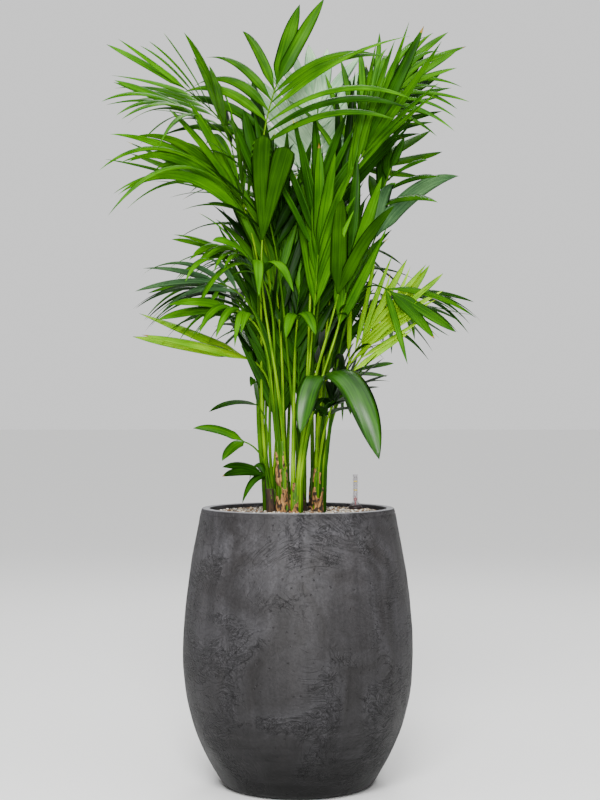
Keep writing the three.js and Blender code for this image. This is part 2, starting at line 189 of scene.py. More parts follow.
def sheathMaterial(name, fibre, gap):
    # Dry leaf sheath: woven brown fibres along the stem, dull and rough.
    material = newMaterial(name)
    where = addNode(material, "TexCoord").outputs["Object"]
    across, length = scaleOf(sheathFinish["fibreWidth"]), scaleOf(sheathFinish["fibreLength"])
    along = addNode(material, "Mapping", {"Vector": where}, {"Scale": (across, across, length)})
    fibres = addNode(material, "TexNoise", {"Vector": along}, {"Scale": 1, "Detail": 3})
    low, high = sheathFinish["edges"]
    tone = addNode(material, "ValToRGB", {"Fac": fibres}, ramp=((low, linear(gap)), (high, linear(fibre))))
    values = {"Roughness": sheathFinish["roughness"]}
    return finishMaterial(material, values, {"Base Color": tone}, (fibres, 0.9, sheathFinish["relief"]))


sheathMaterials = [
    sheathMaterial("sheath_dry", "#b08048", "#3a200c"),
    sheathMaterial("sheath_old", "#3c2812", "#0e0804"),
    sheathMaterial("sheath_green", "#4e7c08", "#264c04"),
]
print("leaf materials made")


# Mesh pieces

def makePiece(name, points, faces, materials, slots, coordinates=None, smooth=True):
    # points are in millimetres
    mesh = bpy.data.meshes.new(name)
    mesh.from_pydata(np.asarray(points) * mm, [], faces)
    for material in materials:
        mesh.materials.append(material)
    mesh.polygons.foreach_set("material_index", np.asarray(slots, dtype=np.int32))
    mesh.polygons.foreach_set("use_smooth", np.full(len(faces), smooth))
    if coordinates is not None:
        layer = mesh.uv_layers.new(name="blade")
        corners = np.empty(len(mesh.loops), dtype=np.int32)
        mesh.loops.foreach_get("vertex_index", corners)
        layer.data.foreach_set("uv", (np.asarray(coordinates)[corners] * mm).ravel())
    mesh.update()
    piece = addObject(name, mesh)
    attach(piece, "root")
    return piece


class Gathering:
    # many small closed shapes that become one joined piece
    def __init__(self):
        self.points, self.coordinates, self.faces, self.slots = [], [], [], []
        self.count = 0

    def add(self, points, faces, slots, coordinates):
        self.faces.extend([tuple(corner + self.count for corner in face) for face in faces])
        self.slots.extend(slots)
        self.points.append(points)
        self.coordinates.append(coordinates)
        self.count += len(points)

    def make(self, name, materials, slotName):
        points, coordinates = np.vstack(self.points), np.vstack(self.coordinates)
        return makePiece(name, points, self.faces, materials, self.slots, coordinates)


def tubeFaces(rings, sides, tip=False, pole=False):
    # Quads between rings of as many points. The first ring gets a cap, or a fan from a pole before
    # it, and the last ring a cap, or a fan to a tip after it.
    pairs = [(i, (i + 1) % sides) for i in range(sides)]
    start = 1 if pole else 0
    last = start + (rings - 1) * sides
    faces = [(0, 1 + j, 1 + i) for i, j in pairs] if pole else [tuple(range(sides))[::-1]]
    for a in range(start, last, sides):
        faces += [(a + i, a + j, a + sides + j, a + sides + i) for i, j in pairs]
    if tip:
        return faces + [(last + i, last + j, last + sides) for i, j in pairs]
    return faces + [tuple(range(last, last + sides))]


def circle(count):
    return np.arange(count) / count * 2 * math.pi


def eased(value, low, high):
    # from 0 at low to 1 at high, with soft ends
    t = min(max((value - low) / (high - low), 0), 1)
    return t * t * (3 - 2 * t)


# The palm's rule, in millimetres and degrees: the same as the solids', with finer leaflets

bedLevel = 640  # top of the granulate
soilLevel = bedLevel + clear
stemColumns = ("x", "y", "height", "radius", "leanX", "leanY")
stems = {
    "stem_front_left": (-36, -34, 165, 13.5, -5, -4),
    "stem_front": (-6, -58, 70, 13, 1, -4),
    "stem_left": (-62, 14, 75, 13, -5, 0),
    "stem_right": (46, -22, 105, 13.5, 4, -3),
    "stem_middle": (6, 8, 130, 13, 1, 2),
    "stem_back_left": (-30, 58, 110, 13, -3, 5),
    "stem_back_right": (38, 54, 100, 13, 4, 5),
    "stem_small": (-63, -37, 55, 8, -3, -1),
}
stems = {name: dict(zip(stemColumns, row)) for name, row in stems.items()}
stemNames = list(stems)
stemTopShare = 0.94  # of the radius

# Each frond's stem, the way it goes and how far and high its tip is, then its leaflets.
columns = "stem heading reach height slope blade pairs length taper width spread hang roll skew".split()
fronds = {
    "frond_top": (2, 30, 14, 1650, 68, 155, 6, 450, 0.52, 26, 64, 0.8, 20, 0.03),
    "frond_bifid": (0, 239, 89, 1266, 97, 0, 0, 260, 1, 54, 9, 0.12, -149, 0),
    "frond_upper_left": (2, 205, 80, 1371, 66, 53, 3, 502, 0.45, 30, 43, 0.94, 129, 0.09),
    "frond_left_arching": (2, 220, 85, 1358, 43, 5, 1, 524, 0.55, 22, 30, 1.2, -35, -0.34),
    "frond_left_bundle": (2, 196, 197, 1618, 33, 120, 5, 340, 0.61, 24, 55, 0.4, 4, 0.04),
    "frond_left_dark": (5, 154, 94, 1535, 56, 115, 1, 298, 1, 42, 17, 0.05, -3, 0.05),
    "frond_left_middle": (2, 194, 90, 1238, 25, 60, 4, 205, 0.8, 22, 44, 1.4, 10, 0),
    "frond_left_hanging": (0, 228, 106, 1215, 30, 50, 2, 205, 0.9, 28, 50, 2.6, 0, 0),
    "frond_left_drooping": (0, 205, 125, 1110, 15, 60, 2, 190, 0.9, 26, 50, 1.8, 0, 0),
    "frond_left_low": (0, 158, 93, 1002, 20, 20, 1, 367, 0.82, 26, 46, 0.16, -9, 0.12),
    "frond_small_1": (7, 190, 31, 889, 51, 20, 0, 163, 0.9, 24, 43, 1.2, 35, -0.1),
    "frond_small_2": (7, 211, 71, 805, 17, 0, 0, 123, 1, 25, 33, 0.74, -36, 0.07),
    "frond_small_3": (7, 172, 20, 728, 27, 10, 1, 111, 1, 20, 39, 2.5, -38, 0),
    "frond_front_right": (3, 274, 133, 951, 17, 0, 0, 277, 1, 64, 30, 3.8, 7, -0.22),
    "frond_right_low": (3, 29, 79, 964, 10, 20, 2, 139, 0.88, 28, 90, 0.77, -53, 0.03),
    "frond_right_fan": (3, 1, 190, 1110, 48, 180, 5, 190, 0.7, 14, 22, 0.1, 85, 0),
    "frond_right_arch": (3, 39, 228, 1146, -30, 20, 2, 219, 0.95, 26, 46, 0.08, -19, -0.1),
    "frond_right_broad": (1, 308, 156, 1138, 68, 0, 0, 268, 1, 38, 13, 0.9, 114, 0.01),
    "frond_right_upper": (6, 311, 263, 1426, 62, 97, 3, 225, 0.3, 32, 58, 0.36, 72, 0.46),
    "frond_right_bundle": (6, 31, 240, 1703, 35, 293, 6, 220, 1, 28, 37, 0.69, 47, -0.09),
    "frond_right_dark": (4, 32, 258, 1624, 50, 158, 5, 205, 1, 28, 36, 0.41, 43, -0.13),
    "frond_back_pale": (4, 76, 177, 1620, 84, 180, 4, 290, 0.6, 34, 40, 0.3, -166, 0),
    "frond_centre": (1, 358, 52, 1373, 82, 120, 2, 250, 0.8, 24, 26, 0.3, -90, 0),
    "frond_centre_left": (0, 110, 60, 1200, 80, 110, 2, 260, 0.8, 34, 24, 0.4, -30, 0),
    "frond_centre_right": (3, 60, 70, 1190, 76, 110, 2, 270, 0.8, 34, 24, 0.4, 30, 0),
    "frond_centre_back": (4, 140, 70, 1230, 78, 150, 3, 290, 0.8, 36, 24, 0.4, -50, 0),
    "frond_inner_front": (1, 275, 50, 1085, 40, 0, 0, 120, 1, 30, 20, 3, 0, 0),
    "frond_inner_left": (5, 240, 70, 1050, 70, 60, 1, 220, 0.9, 30, 40, 0.9, -20, 0),
    "frond_inner_right": (4, 320, 90, 1060, 64, 90, 2, 200, 0.9, 28, 40, 0.9, 30, 0),
    "frond_inner_low": (3, 300, 70, 900, 60, 40, 1, 118, 0.9, 26, 46, 1.6, 0, 0),
    "frond_back_high": (5, 100, 250, 1490, 40, 260, 4, 300, 0.7, 32, 50, 1, 0, 0),
    "frond_back_1": (6, 95, 240, 1330, 30, 240, 4, 320, 0.7, 34, 56, 1.3, 0, 0),
    "frond_back_2": (5, 80, 300, 1180, 10, 240, 4, 290, 0.7, 34, 60, 1.4, 0, 0),
    "frond_back_3": (5, 135, 270, 1190, 5, 220, 4, 290, 0.7, 28, 56, 1.4, 0, 0),
    "frond_back_4": (6, 35, 280, 1170, 5, 220, 4, 290, 0.7, 28, 56, 1.4, 0, 0),
    "frond_back_5": (4, 200, 100, 1400, 72, 150, 3, 270, 0.7, 28, 36, 0.8, -60, 0),
}
# Sprays that fill the crown between the fronds, from the same stems and by the same rule.
sprays = {
    "spray_left_arcs": (2, 189, 190, 1575, 25, 60, 2, 455, 0.44, 20, 66, 0.68, -9, -0.07),
    "spray_left_sweep": (2, 172, 94, 1385, 28, 52, 1, 490, 0.6, 22, 44, 0.4, 163, -0.34),
    "spray_right_arcs": (6, 353, 201, 1640, 29, 90, 3, 290, 0.56, 18, 56, 0.73, 47, -0.12),
    "spray_right_low_arcs": (4, 44, 226, 1473, 19, 21, 1, 275, 1.03, 22, 34, 0.05, 43, -0.34),
    "spray_centre_tall": (1, 321, 68, 1234, 84, 123, 2, 314, 0.8, 30, 29, 0.52, 62, -0.04),
    "spray_right_inner": (1, 314, 164, 1141, 75, 77, 1, 290, 1.02, 30, 22, 0.05, 79, -0.03),
    "spray_right_fan": (3, 355, 117, 1060, 55, 90, 3, 275, 0.73, 14, 27, 0.05, 55, 0.01),
    "spray_right_steep": (4, 324, 182, 1473, 53, 150, 3, 300, 1, 24, 29, 0.19, 70, -0.09),
    "spray_right_wide": (1, 333, 204, 1271, 65, 0, 0, 218, 1, 50, 15, 1.07, -48, -0.15),
    "spray_left_dark": (5, 172, 129, 1502, 77, 115, 0, 349, 1, 40, 25, 0.68, 2, -0.04),
    "spray_left_broad": (2, 195, 64, 1335, 73, 53, 0, 551, 0.45, 44, 44, 0.72, 178, -0.05),
    "spray_right_arch": (3, 340, 178, 1151, -35, 15, 1, 243, 0.71, 28, 41, 0.7, 43, -0.05),
    "spray_left_arches": (0, 200, 163, 1172, 11, 60, 2, 240, 0.8, 24, 27, 1.5, 63, 0.01),
    "spray_low_right": (3, 340, 75, 930, 45, 50, 2, 125, 0.9, 30, 50, 0.5, -20, 0),
    "spray_low_front": (3, 290, 60, 880, 20, 30, 1, 110, 0.9, 30, 50, 1.2, 0, 0),
}
# Of each frond and spray: tone of its leaflets above and below, tone of its stalk, leaflets drawn
# for each one of the rule's, and how far they turn to the light in degrees.
looks = {
    "frond_top": ("mid", "mid", "brightStalk", 1, 26),
    "frond_bifid": ("mature", "mid", "brightStalk", 1, 0),
    "frond_upper_left": ("bright", "fresh", "brightStalk", 2, 50),
    "frond_left_arching": ("fresh", "mid", "greenStalk", 2, 60),
    "frond_left_bundle": ("bright", "fresh", "greenStalk", 1, 62),
    "frond_left_dark": ("deep", "deep", "greenStalk", 1, 40),
    "frond_left_middle": ("fresh", "greyUnder", "greenStalk", 2, 45),
    "frond_left_hanging": ("bright", "mid", "greenStalk", 1, 40),
    "frond_left_drooping": ("fresh", "mid", "brightStalk", 2, 40),
    "frond_left_low": ("sunny", "sunny", "brightStalk", 1, 55),
    "frond_small_1": ("deep", "deep", "greenStalk", 1, 30),
    "frond_small_2": ("deep", "deep", "greenStalk", 1, 30),
    "frond_small_3": ("deep", "deep", "greenStalk", 1, 30),
    "frond_front_right": ("glossy", "greyUnder", "brightStalk", 1, 30),
    "frond_right_low": ("dark", "deep", "greenStalk", 2, 35),
    "frond_right_fan": ("lime", "lime", "brightStalk", 1, 40),
    "frond_right_arch": ("deep", "greyUnder", "greenStalk", 1, 40),
    "frond_right_broad": ("mature", "fresh", "brightStalk", 1, 30),
    "frond_right_upper": ("deep", "greyUnder", "greenStalk", 1, 40),
    "frond_right_bundle": ("fresh", "mid", "greenStalk", 1, 45),
    "frond_right_dark": ("deep", "dark", "greenStalk", 1, 45),
    "frond_back_pale": ("paleUnder", "paleUnder", "greenStalk", 2, 12),
    "frond_centre": ("deep", "deep", "brightStalk", 2, 30),
    "frond_centre_left": ("deep", "dark", "brightStalk", 2, 30),
    "frond_centre_right": ("deep", "deep", "brightStalk", 2, 30),
    "frond_centre_back": ("dark", "dark", "greenStalk", 2, 30),
    "frond_inner_front": ("mid", "mid", "brightStalk", 1, 30),
    "frond_inner_left": ("dark", "dark", "brightStalk", 2, 30),
    "frond_inner_right": ("deep", "dark", "greenStalk", 2, 30),
    "frond_inner_low": ("dark", "dark", "brightStalk", 2, 30),
    "frond_back_high": ("mid", "deep", "greenStalk", 2, 40),
    "frond_back_1": ("deep", "deep", "greenStalk", 2, 40),
    "frond_back_2": ("mid", "deep", "greenStalk", 2, 40),
    "frond_back_3": ("deep", "mid", "greenStalk", 2, 40),
    "frond_back_4": ("deep", "mid", "greenStalk", 2, 40),
    "frond_back_5": ("dark", "deep", "greenStalk", 2, 40),
    "spray_left_arcs": ("bright", "mid", "greenStalk", 2, 45),
    "spray_left_sweep": ("mid", "mid", "greenStalk", 2, 45),
    "spray_right_arcs": ("fresh", "mid", "greenStalk", 2, 45),
    "spray_right_low_arcs": ("mid", "mid", "greenStalk", 1, 40),
    "spray_centre_tall": ("mid", "deep", "brightStalk", 2, 30),
    "spray_right_inner": ("mid", "deep", "brightStalk", 1, 30),
    "spray_right_fan": ("sunny", "sunny", "brightStalk", 1, 30),
    "spray_right_steep": ("deep", "dark", "greenStalk", 2, 30),
    "spray_right_wide": ("mid", "greyUnder", "greenStalk", 1, 20),
    "spray_left_dark": ("deep", "deep", "greenStalk", 1, 20),
    "spray_left_broad": ("bright", "fresh", "greenStalk", 1, 30),
    "spray_right_arch": ("mid", "greyUnder", "greenStalk", 1, 30),
    "spray_left_arches": ("fresh", "greyUnder", "greenStalk", 1, 40),
    "spray_low_right": ("deep", "dark", "darkStalk", 2, 30),
    "spray_low_front": ("deep", "dark", "darkStalk", 1, 30),
}
# Young fronds that stand upright in the middle and at the back, behind the petioles.
youngFronds = {
    "count": 16,
    "stems": (2, 5, 4, 6),
    "lowest": 1000,
    "highest": 1320,
    "nearest": 15,
    "farthest": 85,
    "slope": 80,
    "blade": 150,
    "pairs": 3,
    "length": 270,
    "taper": 0.8,
    "width": 28,
    "spread": 24,
    "hang": 0.35,
    "turn": 137.5,  # between one young frond and the next
}
rachis = {"tipRadius": 2, "pieces": 7, "baseSlope": 82, "rise": 0.46, "tail": 0.34}
leafletRule = {"bend": 1.1, "steps": 12}
pairing = {"closing": 0.4, "lowestShorter": 0.1, "taperPower": 1.6, "evening": 0.7, "stagger": 0.008}
lastPair = {"spread": 9, "width": 1.25, "hang": 0.25}
vary = {"spread": 4, "length": 0.07, "width": 0.12, "hang": 0.25}
sways = (0, 10, -10, 20, -20, 30, -30, 40, -40, 52, -52, 64, -64)  # how far a frond may be bowed
lifts = (0, 7, -7, 14, -14, 22, -22, 30, -30)  # how far a leaflet may be lifted
found = 1  # nearest that a solid's corner is to the point that the rule puts there
spraySeat = {"radius": 0.3, "nearest": 0.5, "spread": 0.7}  # beside the stem's radius
up = np.array((0.0, 0.0, 1.0))


def heading(angle):
    return np.array((math.cos(math.radians(angle)), math.sin(math.radians(angle)), 0))


def share(count):
    # a steady share between -1 and 1 that differs from leaflet to leaflet
    return 2 * ((count * 0.6180339887) % 1) - 1


def unit(vector):
    return vector / np.linalg.norm(vector)


def addYoungFronds():
    young = youngFronds
    for k in range(young["count"]):
        name = f"spray_young_{k + 1}"
        reach = young["nearest"] + (young["farthest"] - young["nearest"]) * ((k * 0.382 + 0.2) % 1)
        height = young["lowest"] + (young["highest"] - young["lowest"]) * ((k * 0.618) % 1)
        row = (young["stems"][k % len(young["stems"])], (young["turn"] * k) % 180, reach, height)
        row += (young["slope"], young["blade"], young["pairs"], young["length"] * (1 + 0.15 * share(k)))
        row += (young["taper"], young["width"], young["spread"], young["hang"], 137 * share(k + 0.4), 0)
        sprays[name] = row
        looks[name] = ("deep" if k % 3 else "mid", "deep", "darkStalk", 2, 30)


class Arch:
    # a cubic Bezier curve that is walked by its length
    divisions = 200

    def __init__(self, ends):
        self.ends = np.array(ends)
        points = np.array([self.at(k / self.divisions) for k in range(self.divisions + 1)])
        steps = np.linalg.norm(np.diff(points, axis=0), axis=1)
        self.lengths = np.concatenate(([0], np.cumsum(steps)))
        self.length = self.lengths[-1]

    def at(self, t):
        s = 1 - t
        weights = np.array((s**3, 3 * s * s * t, 3 * s * t * t, t**3))
        return weights @ self.ends

    def walked(self, along):
        steps = np.arange(self.divisions + 1)
        return float(np.interp(along * self.length, self.lengths, steps)) / self.divisions

    def point(self, along):
        return self.at(self.walked(along))

    def forward(self, along):
        t = self.walked(along)
        return unit(self.at(min(1, t + 0.0001)) - self.at(max(0, t - 0.0001)))


def readRows(rows):
    return [{"name": name, **dict(zip(columns, row))} for name, row in rows.items()]


def seatFronds():
    # the fronds of one stem stand in a ring on its top
    made = readRows(fronds)
    for index, stem in enumerate(stems.values()):
        ring = sorted((frond for frond in made if frond["stem"] == index), key=lambda frond: frond["heading"])
        step = 360 / len(ring)
        turn = sum(frond["heading"] - k * step for k, frond in enumerate(ring)) / len(ring)
        half = math.sin(math.radians(step / 2))
        top = stem["radius"] * stemTopShare
        room = (top * half - clear) / (1 + half)
        for k, frond in enumerate(ring):
            frond["radius"] = room
            frond["seat"] = heading(turn + k * step) * (top - room)
    return made


def seatSprays():
    made = readRows(sprays)
    for k, frond in enumerate(made):
        stem = stems[stemNames[frond["stem"]]]
        out = spraySeat["nearest"] + spraySeat["spread"] * abs(share(k))
        frond["radius"] = stem["radius"] * spraySeat["radius"]
        frond["seat"] = heading(frond["heading"]) * stem["radius"] * out
    return made


def archOf(frond, sway):
    stem = stems[stemNames[frond["stem"]]]
    out = heading(frond["heading"])
    bow = heading(frond["heading"] + 90) * sway
    top = np.array((stem["x"] + stem["leanX"], stem["y"] + stem["leanY"], soilLevel + stem["height"]))
    seat = top + frond["seat"] + up * clear
    end = np.array((stem["x"], stem["y"], 0)) + out * frond["reach"] + up * frond["height"]
    span = np.linalg.norm(end - seat)
    leave = math.radians(rachis["baseSlope"])
    arrive = math.radians(frond["slope"])
    first = seat + (out * math.cos(leave) + up * math.sin(leave)) * span * rachis["rise"] + bow
    second = end - (out * math.cos(arrive) + up * math.sin(arrive)) * span * rachis["tail"] + bow
    return Arch((seat, first, second, end))


def frameAt(arch, frond, along, roll):
    # the way a rachis goes, its side that carries leaflets and its face, rolled about that way
    forward = arch.forward(along)
    level = heading(frond["heading"] + 90)
    face = unit(np.cross(forward, level))
    side = level * math.cos(math.radians(roll)) + face * math.sin(math.radians(roll))
    return forward, side, unit(np.cross(forward, side))


def onRachis(arch, along):
    # the solid's rachis is straight between its joints
    piece = min(int(along * rachis["pieces"]), rachis["pieces"] - 1)
    low = arch.point(piece / rachis["pieces"])
    high = arch.point((piece + 1) / rachis["pieces"])
    return low + (high - low) * (along * rachis["pieces"] - piece)


def leafletOf(frond, arch, seed, place, hand):
    # place counts pairs from the lowest, and may lie between two of them
    pairs = frond["pairs"]
    last = pairs > 0 and place == pairs
    part = place / pairs if pairs else 0
    along = 1 - frond["blade"] / arch.length * (1 - part) if pairs else 1
    lowest = pairing["lowestShorter"] * (1 - part) ** 4
    long = frond["length"] * (1 - lowest - (1 - frond["taper"]) * part ** pairing["taperPower"])
    skew = frond["skew"] * (1 - pairing["evening"] * part)
    count = seed * 31 + place * 2 + (1 if hand > 0 else 0)
    wide = frond["width"] * (lastPair["width"] if last else 1)
    hang = frond["hang"] * (lastPair["hang"] if last else 1)
    spread = frond["spread"] * (1 - pairing["closing"] * part) + vary["spread"] * share(count + 0.3)
    return {
        "along": min(1, along + (pairing["stagger"] if hand > 0 else 0)),
        "hand": hand,
        "count": count,
        "last": last or pairs == 0,
        "spread": lastPair["spread"] if last else spread,
        "length": long * (1 - hand * skew) * (1 + vary["length"] * share(count)),
        "width": wide * (1 + vary["width"] * share(count + 0.7)),
        "hang": hang * (1 + vary["hang"] * share(count + 0.5)),
    }


def leafletPath(arch, frond, item, lift, steps, start, drift=0):
    # the points of a leaflet's midrib, the way it goes at each, and its flat across
    forward, side, normal = frameAt(arch, frond, item["along"], frond["roll"])
    spread = math.radians(item["spread"])
    way = forward * math.cos(spread) + side * (item["hand"] * math.sin(spread))
    way = way * math.cos(math.radians(lift)) + normal * math.sin(math.radians(lift))
    across = unit(np.cross(normal, way))
    place = start
    points, ways, flats = [], [], []
    for k in range(steps + 1):
        t = k / steps
        turned = unit(way - up * (item["hang"] * t ** leafletRule["bend"]) + across * (drift * t * t))
        points.append(place)
        ways.append(turned)
        flats.append(unit(across - turned * (across @ turned)))
        place = place + turned * (item["length"] / steps)
    return np.array(points), np.array(ways), np.array(flats)


def cadPoints(name):
    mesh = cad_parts[name].data
    tree = kdtree.KDTree(len(mesh.vertices))
    for index, vertex in enumerate(mesh.vertices):
        tree.insert(vertex.co, index)
    tree.balance()
    return tree


def gapTo(tree, point):
    return tree.find(Vector(point * mm))[2] / mm


def findSway(frond, tree):
    # which of the ways to bow the solid took, read at a corner of its second joint
    along = 2 / rachis["pieces"]
    radius = frond["radius"] + (rachis["tipRadius"] - frond["radius"]) * along
    gaps = []
    for sway in sways:
        arch = archOf(frond, sway)
        _, side, normal = frameAt(arch, frond, along, roll=0)
        gaps.append((gapTo(tree, arch.point(along) + (side - normal) * radius * math.sqrt(0.5)), sway))
    gap, sway = min(gaps)
    if gap > found:
        print("bow not found for", frond["name"], round(gap, 1))
    return sway


def findLift(arch, frond, item, tree):
    # which of the ways to lift a leaflet the solid took, if it has that leaflet
    start = onRachis(arch, item["along"])
    for lift in lifts:
        tip = leafletPath(arch, frond, item, lift, leafletRule["steps"], start)[0][-1]
        if gapTo(tree, tip) < found:
            return lift
    return None


blade = {
    "strips": 6,
    "rings": 18,
    "midribThick": 1.5,  # mm
    "edgeThick": 0.5,
    "thinning": 0.7,  # how much of that is gone at the tip
    "fold": 0.2,  # how far the edges fall below the midrib, beside the half width
    "pleat": 0.05,
    "twist": 24,  # degrees at the tip
    "drift": 0.16,
    "stoutest": 0.24,  # widest that a leaflet gets, beside its length
    "foot": 0.16,  # width at the foot, beside the widest
    "opening": 0.24,  # how far along it is widest, and from where it closes
    "closing": 0.3,
    "sharp": 2.4,
    "blunt": 3.2,
    "turned": (0.25, 0.3),  # how far its foot turns to the light, and how soon the rest does
    "lightFront": (0.1, -0.78, 0.62),  # the window's side
    "lightBack": (0, -0.45, 0.89),
    "single": 0.95,  # drawn width, beside the rule's
    "double": 0.78,
}
# A wedge widens nearly to its end, which is cut off square.
wedge = {"foot": 0.1, "power": 0.9, "end": 0.8, "square": 6}
wedges = ("frond_bifid",)
# Fronds whose last pair is broader or slimmer than the rule's, and whose other leaflets are slimmer.
wideEnds = {"frond_top": 1.2, "frond_left_bundle": 0.7, "frond_right_bundle": 0.6, "frond_front_right": 1.05}
slimness = {
    "frond_left_bundle": 0.9,
    "frond_right_bundle": 0.6,
    "frond_right_dark": 0.8,
    "frond_right_arch": 0.7,
    "spray_right_arch": 0.65,
}
# Dry tips: from what share on they are yellow or brown, where they start, and the widest dry leaflet.
dryTips = {"yellow": 0.8, "brown": 0.94, "start": 0.95, "widest": 36}


def bladeWidth(t, blunt, isWedge):
    if isWedge:
        widening = wedge["foot"] + (1 - wedge["foot"]) * min(t / wedge["end"], 1) ** wedge["power"]
        return widening * (1 - max((t - wedge["end"]) / (1 - wedge["end"]), 0) ** wedge["square"])
    widening = blade["foot"] + (1 - blade["foot"]) * eased(t, 0, blade["opening"])
    closed = max(t - blade["closing"], 0) / (1 - blade["closing"])
    return widening * (1 - closed ** blade["blunt" if blunt else "sharp"])


def turnToLight(way, flat, light, most):
    # how far a blade turns about its midrib so that its upper side faces the light
    over = np.cross(way, flat)
    turn = math.atan2(-(flat @ light), over @ light)
    return max(-most, min(most, turn))


def addLeaflet(gathering, arch, frond, item, lift, width, facing, tones, tipStart):
    strips, rings, count, long = blade["strips"], blade["rings"], item["count"], item["length"]
    drift = blade["drift"] * share(count + 0.11)
    points, ways, flats = leafletPath(arch, frond, item, lift, rings, arch.point(item["along"]), drift)
    half = min(item["width"] * width, long * blade["stoutest"] * max(1, width)) / 2
    twist = math.radians(blade["twist"]) * share(count + 0.23)
    light = np.array(blade["lightBack" if "back" in frond["name"] else "lightFront"])
    facing = turnToLight(ways[rings // 3], flats[rings // 3], light, math.radians(facing))
    turnedFoot, soon = blade["turned"]
    across = np.linspace(-1, 1, strips + 1)
    inner = 1 - np.abs(across)
    ripple = np.array([blade["pleat"] * half * (i % 2) for i in range(strips + 1)])
    thick = blade["edgeThick"] + (blade["midribThick"] - blade["edgeThick"]) * inner ** 2
    rows, coordinates = [], []
    for k in range(rings):
        t = k / rings
        turn = twist * t * t + facing * min(1, turnedFoot + t / soon)
        flat = flats[k] * math.cos(turn) + np.cross(ways[k], flats[k]) * math.sin(turn)
        over = np.cross(ways[k], flat)
        wide = half * bladeWidth(t, item["last"], frond["name"] in wedges)
        roof = blade["fold"] * wide * inner + ripple * min(1, wide / half)
        top = points[k] + np.outer(across * wide, flat) + np.outer(roof, over)
        below = top - np.outer(thick * (1 - blade["thinning"] * t), over)
        rows.append(np.vstack((top, below[-2:0:-1])))
        girth = np.concatenate((across, across[-2:0:-1])) * wide
        coordinates.append(np.column_stack((girth, np.full(2 * strips, t * long))))
    rows.append(points[-1:])
    coordinates.append(np.array(((0, long),)))
    upper, under, tip = tones
    slots = [upper]
    for ring in range(rings):
        dry = (ring + 1) / rings > tipStart
        slots += [tip] * 2 * strips if dry else [upper] * strips + [under] * strips
    # each leaflet has its own stretch of the vein pattern
    coordinates = np.vstack(coordinates) + (count * 37.7, 0)
    gathering.add(np.vstack(rows), tubeFaces(rings, 2 * strips, tip=True), slots, coordinates)


stalk = {
    "sides": 10,
    "rings": 34,
    "tipSwell": 0.95,  # beside the solid's radius
    "foot": 1.1,
    "footSlims": (1, 0.97, 0.93),  # down in the granulate, half way up, and at the stem's top
    "clasp": 0.18,  # share of its length over which it widens to its foot
    "upperFlat": 0.72,
    "sunk": 3,  # mm into the granulate
    "apart": 1.05,
}


def addStalk(gathering, arch, frond, tone):
    # a petiole and rachis, flat above and round below, wider where it clasps its stem
    stem = stems[stemNames[frond["stem"]]]
    foot = np.array((stem["x"], stem["y"], soilLevel - stalk["sunk"])) + frond["seat"] * stalk["apart"]
    seat = arch.point(0)
    sides = stalk["sides"]
    alongs = np.linspace(0.02, 1, stalk["rings"])
    middles = [foot, foot * 0.5 + seat * 0.5, seat] + [arch.point(along) for along in alongs]
    radii = [frond["radius"] * stalk["foot"] * slim for slim in stalk["footSlims"]]
    for along in alongs:
        thin = frond["radius"] + (rachis["tipRadius"] - frond["radius"]) * along
        thin *= 1 + (stalk["tipSwell"] - 1) * along
        radii.append(thin + (radii[2] - thin) * max(0, 1 - along / stalk["clasp"]) ** 2)
    turns = circle(sides)
    flatten = np.where(np.sin(turns) > 0, stalk["upperFlat"], 1.0)
    level = heading(frond["heading"] + 90)
    rows, coordinates = [], []
    travelled = 0
    for k, (middle, radius) in enumerate(zip(middles, radii)):
        forward = unit(middles[min(k + 1, len(middles) - 1)] - middles[max(k - 1, 0)])
        side = unit(level - forward * (level @ forward))
        over = np.cross(forward, side)
        wide, high = np.cos(turns) * radius, np.sin(turns) * radius * flatten
        rows.append(middle + np.outer(wide, side) + np.outer(high, over))
        if k:
            travelled += np.linalg.norm(middle - middles[k - 1])
        coordinates.append(np.column_stack((turns * radius, np.full(sides, travelled))))
    faces = tubeFaces(len(rows), sides)
    gathering.add(np.vstack(rows), faces, [tone] * len(faces), np.vstack(coordinates))


def toneOf(name, count):
    # neighbouring leaflets differ a little in tone
    if name not in lightToDark:
        return toneNames.index(name)
    place = lightToDark.index(name)
    lightest = min(place, lightToDark.index("bright"))
    step = round(0.75 * share(count * 1.7 + 0.4))
    return toneNames.index(lightToDark[min(max(place + step, lightest), len(lightToDark) - 1)])


def addFrond(leaves, stalks, frond, arch, seed, tree=None):
    upper, under, stalkTone, strands, facing = looks[frond["name"]]
    addStalk(stalks, arch, frond, toneNames.index(stalkTone))
    missing = 0
    for place in range(frond["pairs"] + 1):
        for hand in (1, -1):
            item = leafletOf(frond, arch, seed, place, hand)
            lift = findLift(arch, frond, item, tree) if tree else 0
            if lift is None:
                missing += 1
                continue
            drawn = [item]
            if strands == 2 and place < frond["pairs"]:
                drawn.append(leafletOf(frond, arch, seed, place + 0.5, hand))
            width = slimness.get(frond["name"], blade["double" if len(drawn) == 2 else "single"])
            if item["last"]:
                width = wideEnds.get(frond["name"], blade["single"])
            for one in drawn:
                count = one["count"]
                dry = share(count * 3.1 + 0.2)
                tip = toneNames.index("brownTip" if dry > dryTips["brown"] else "yellowTip")
                isDry = dry > dryTips["yellow"] and item["width"] < dryTips["widest"]
                tones = (toneOf(upper, count), toneOf(under, count + 2), tip)
                tipStart = dryTips["start"] if isDry else 1
                addLeaflet(leaves, arch, frond, one, lift, width, facing, tones, tipStart)
    return missing


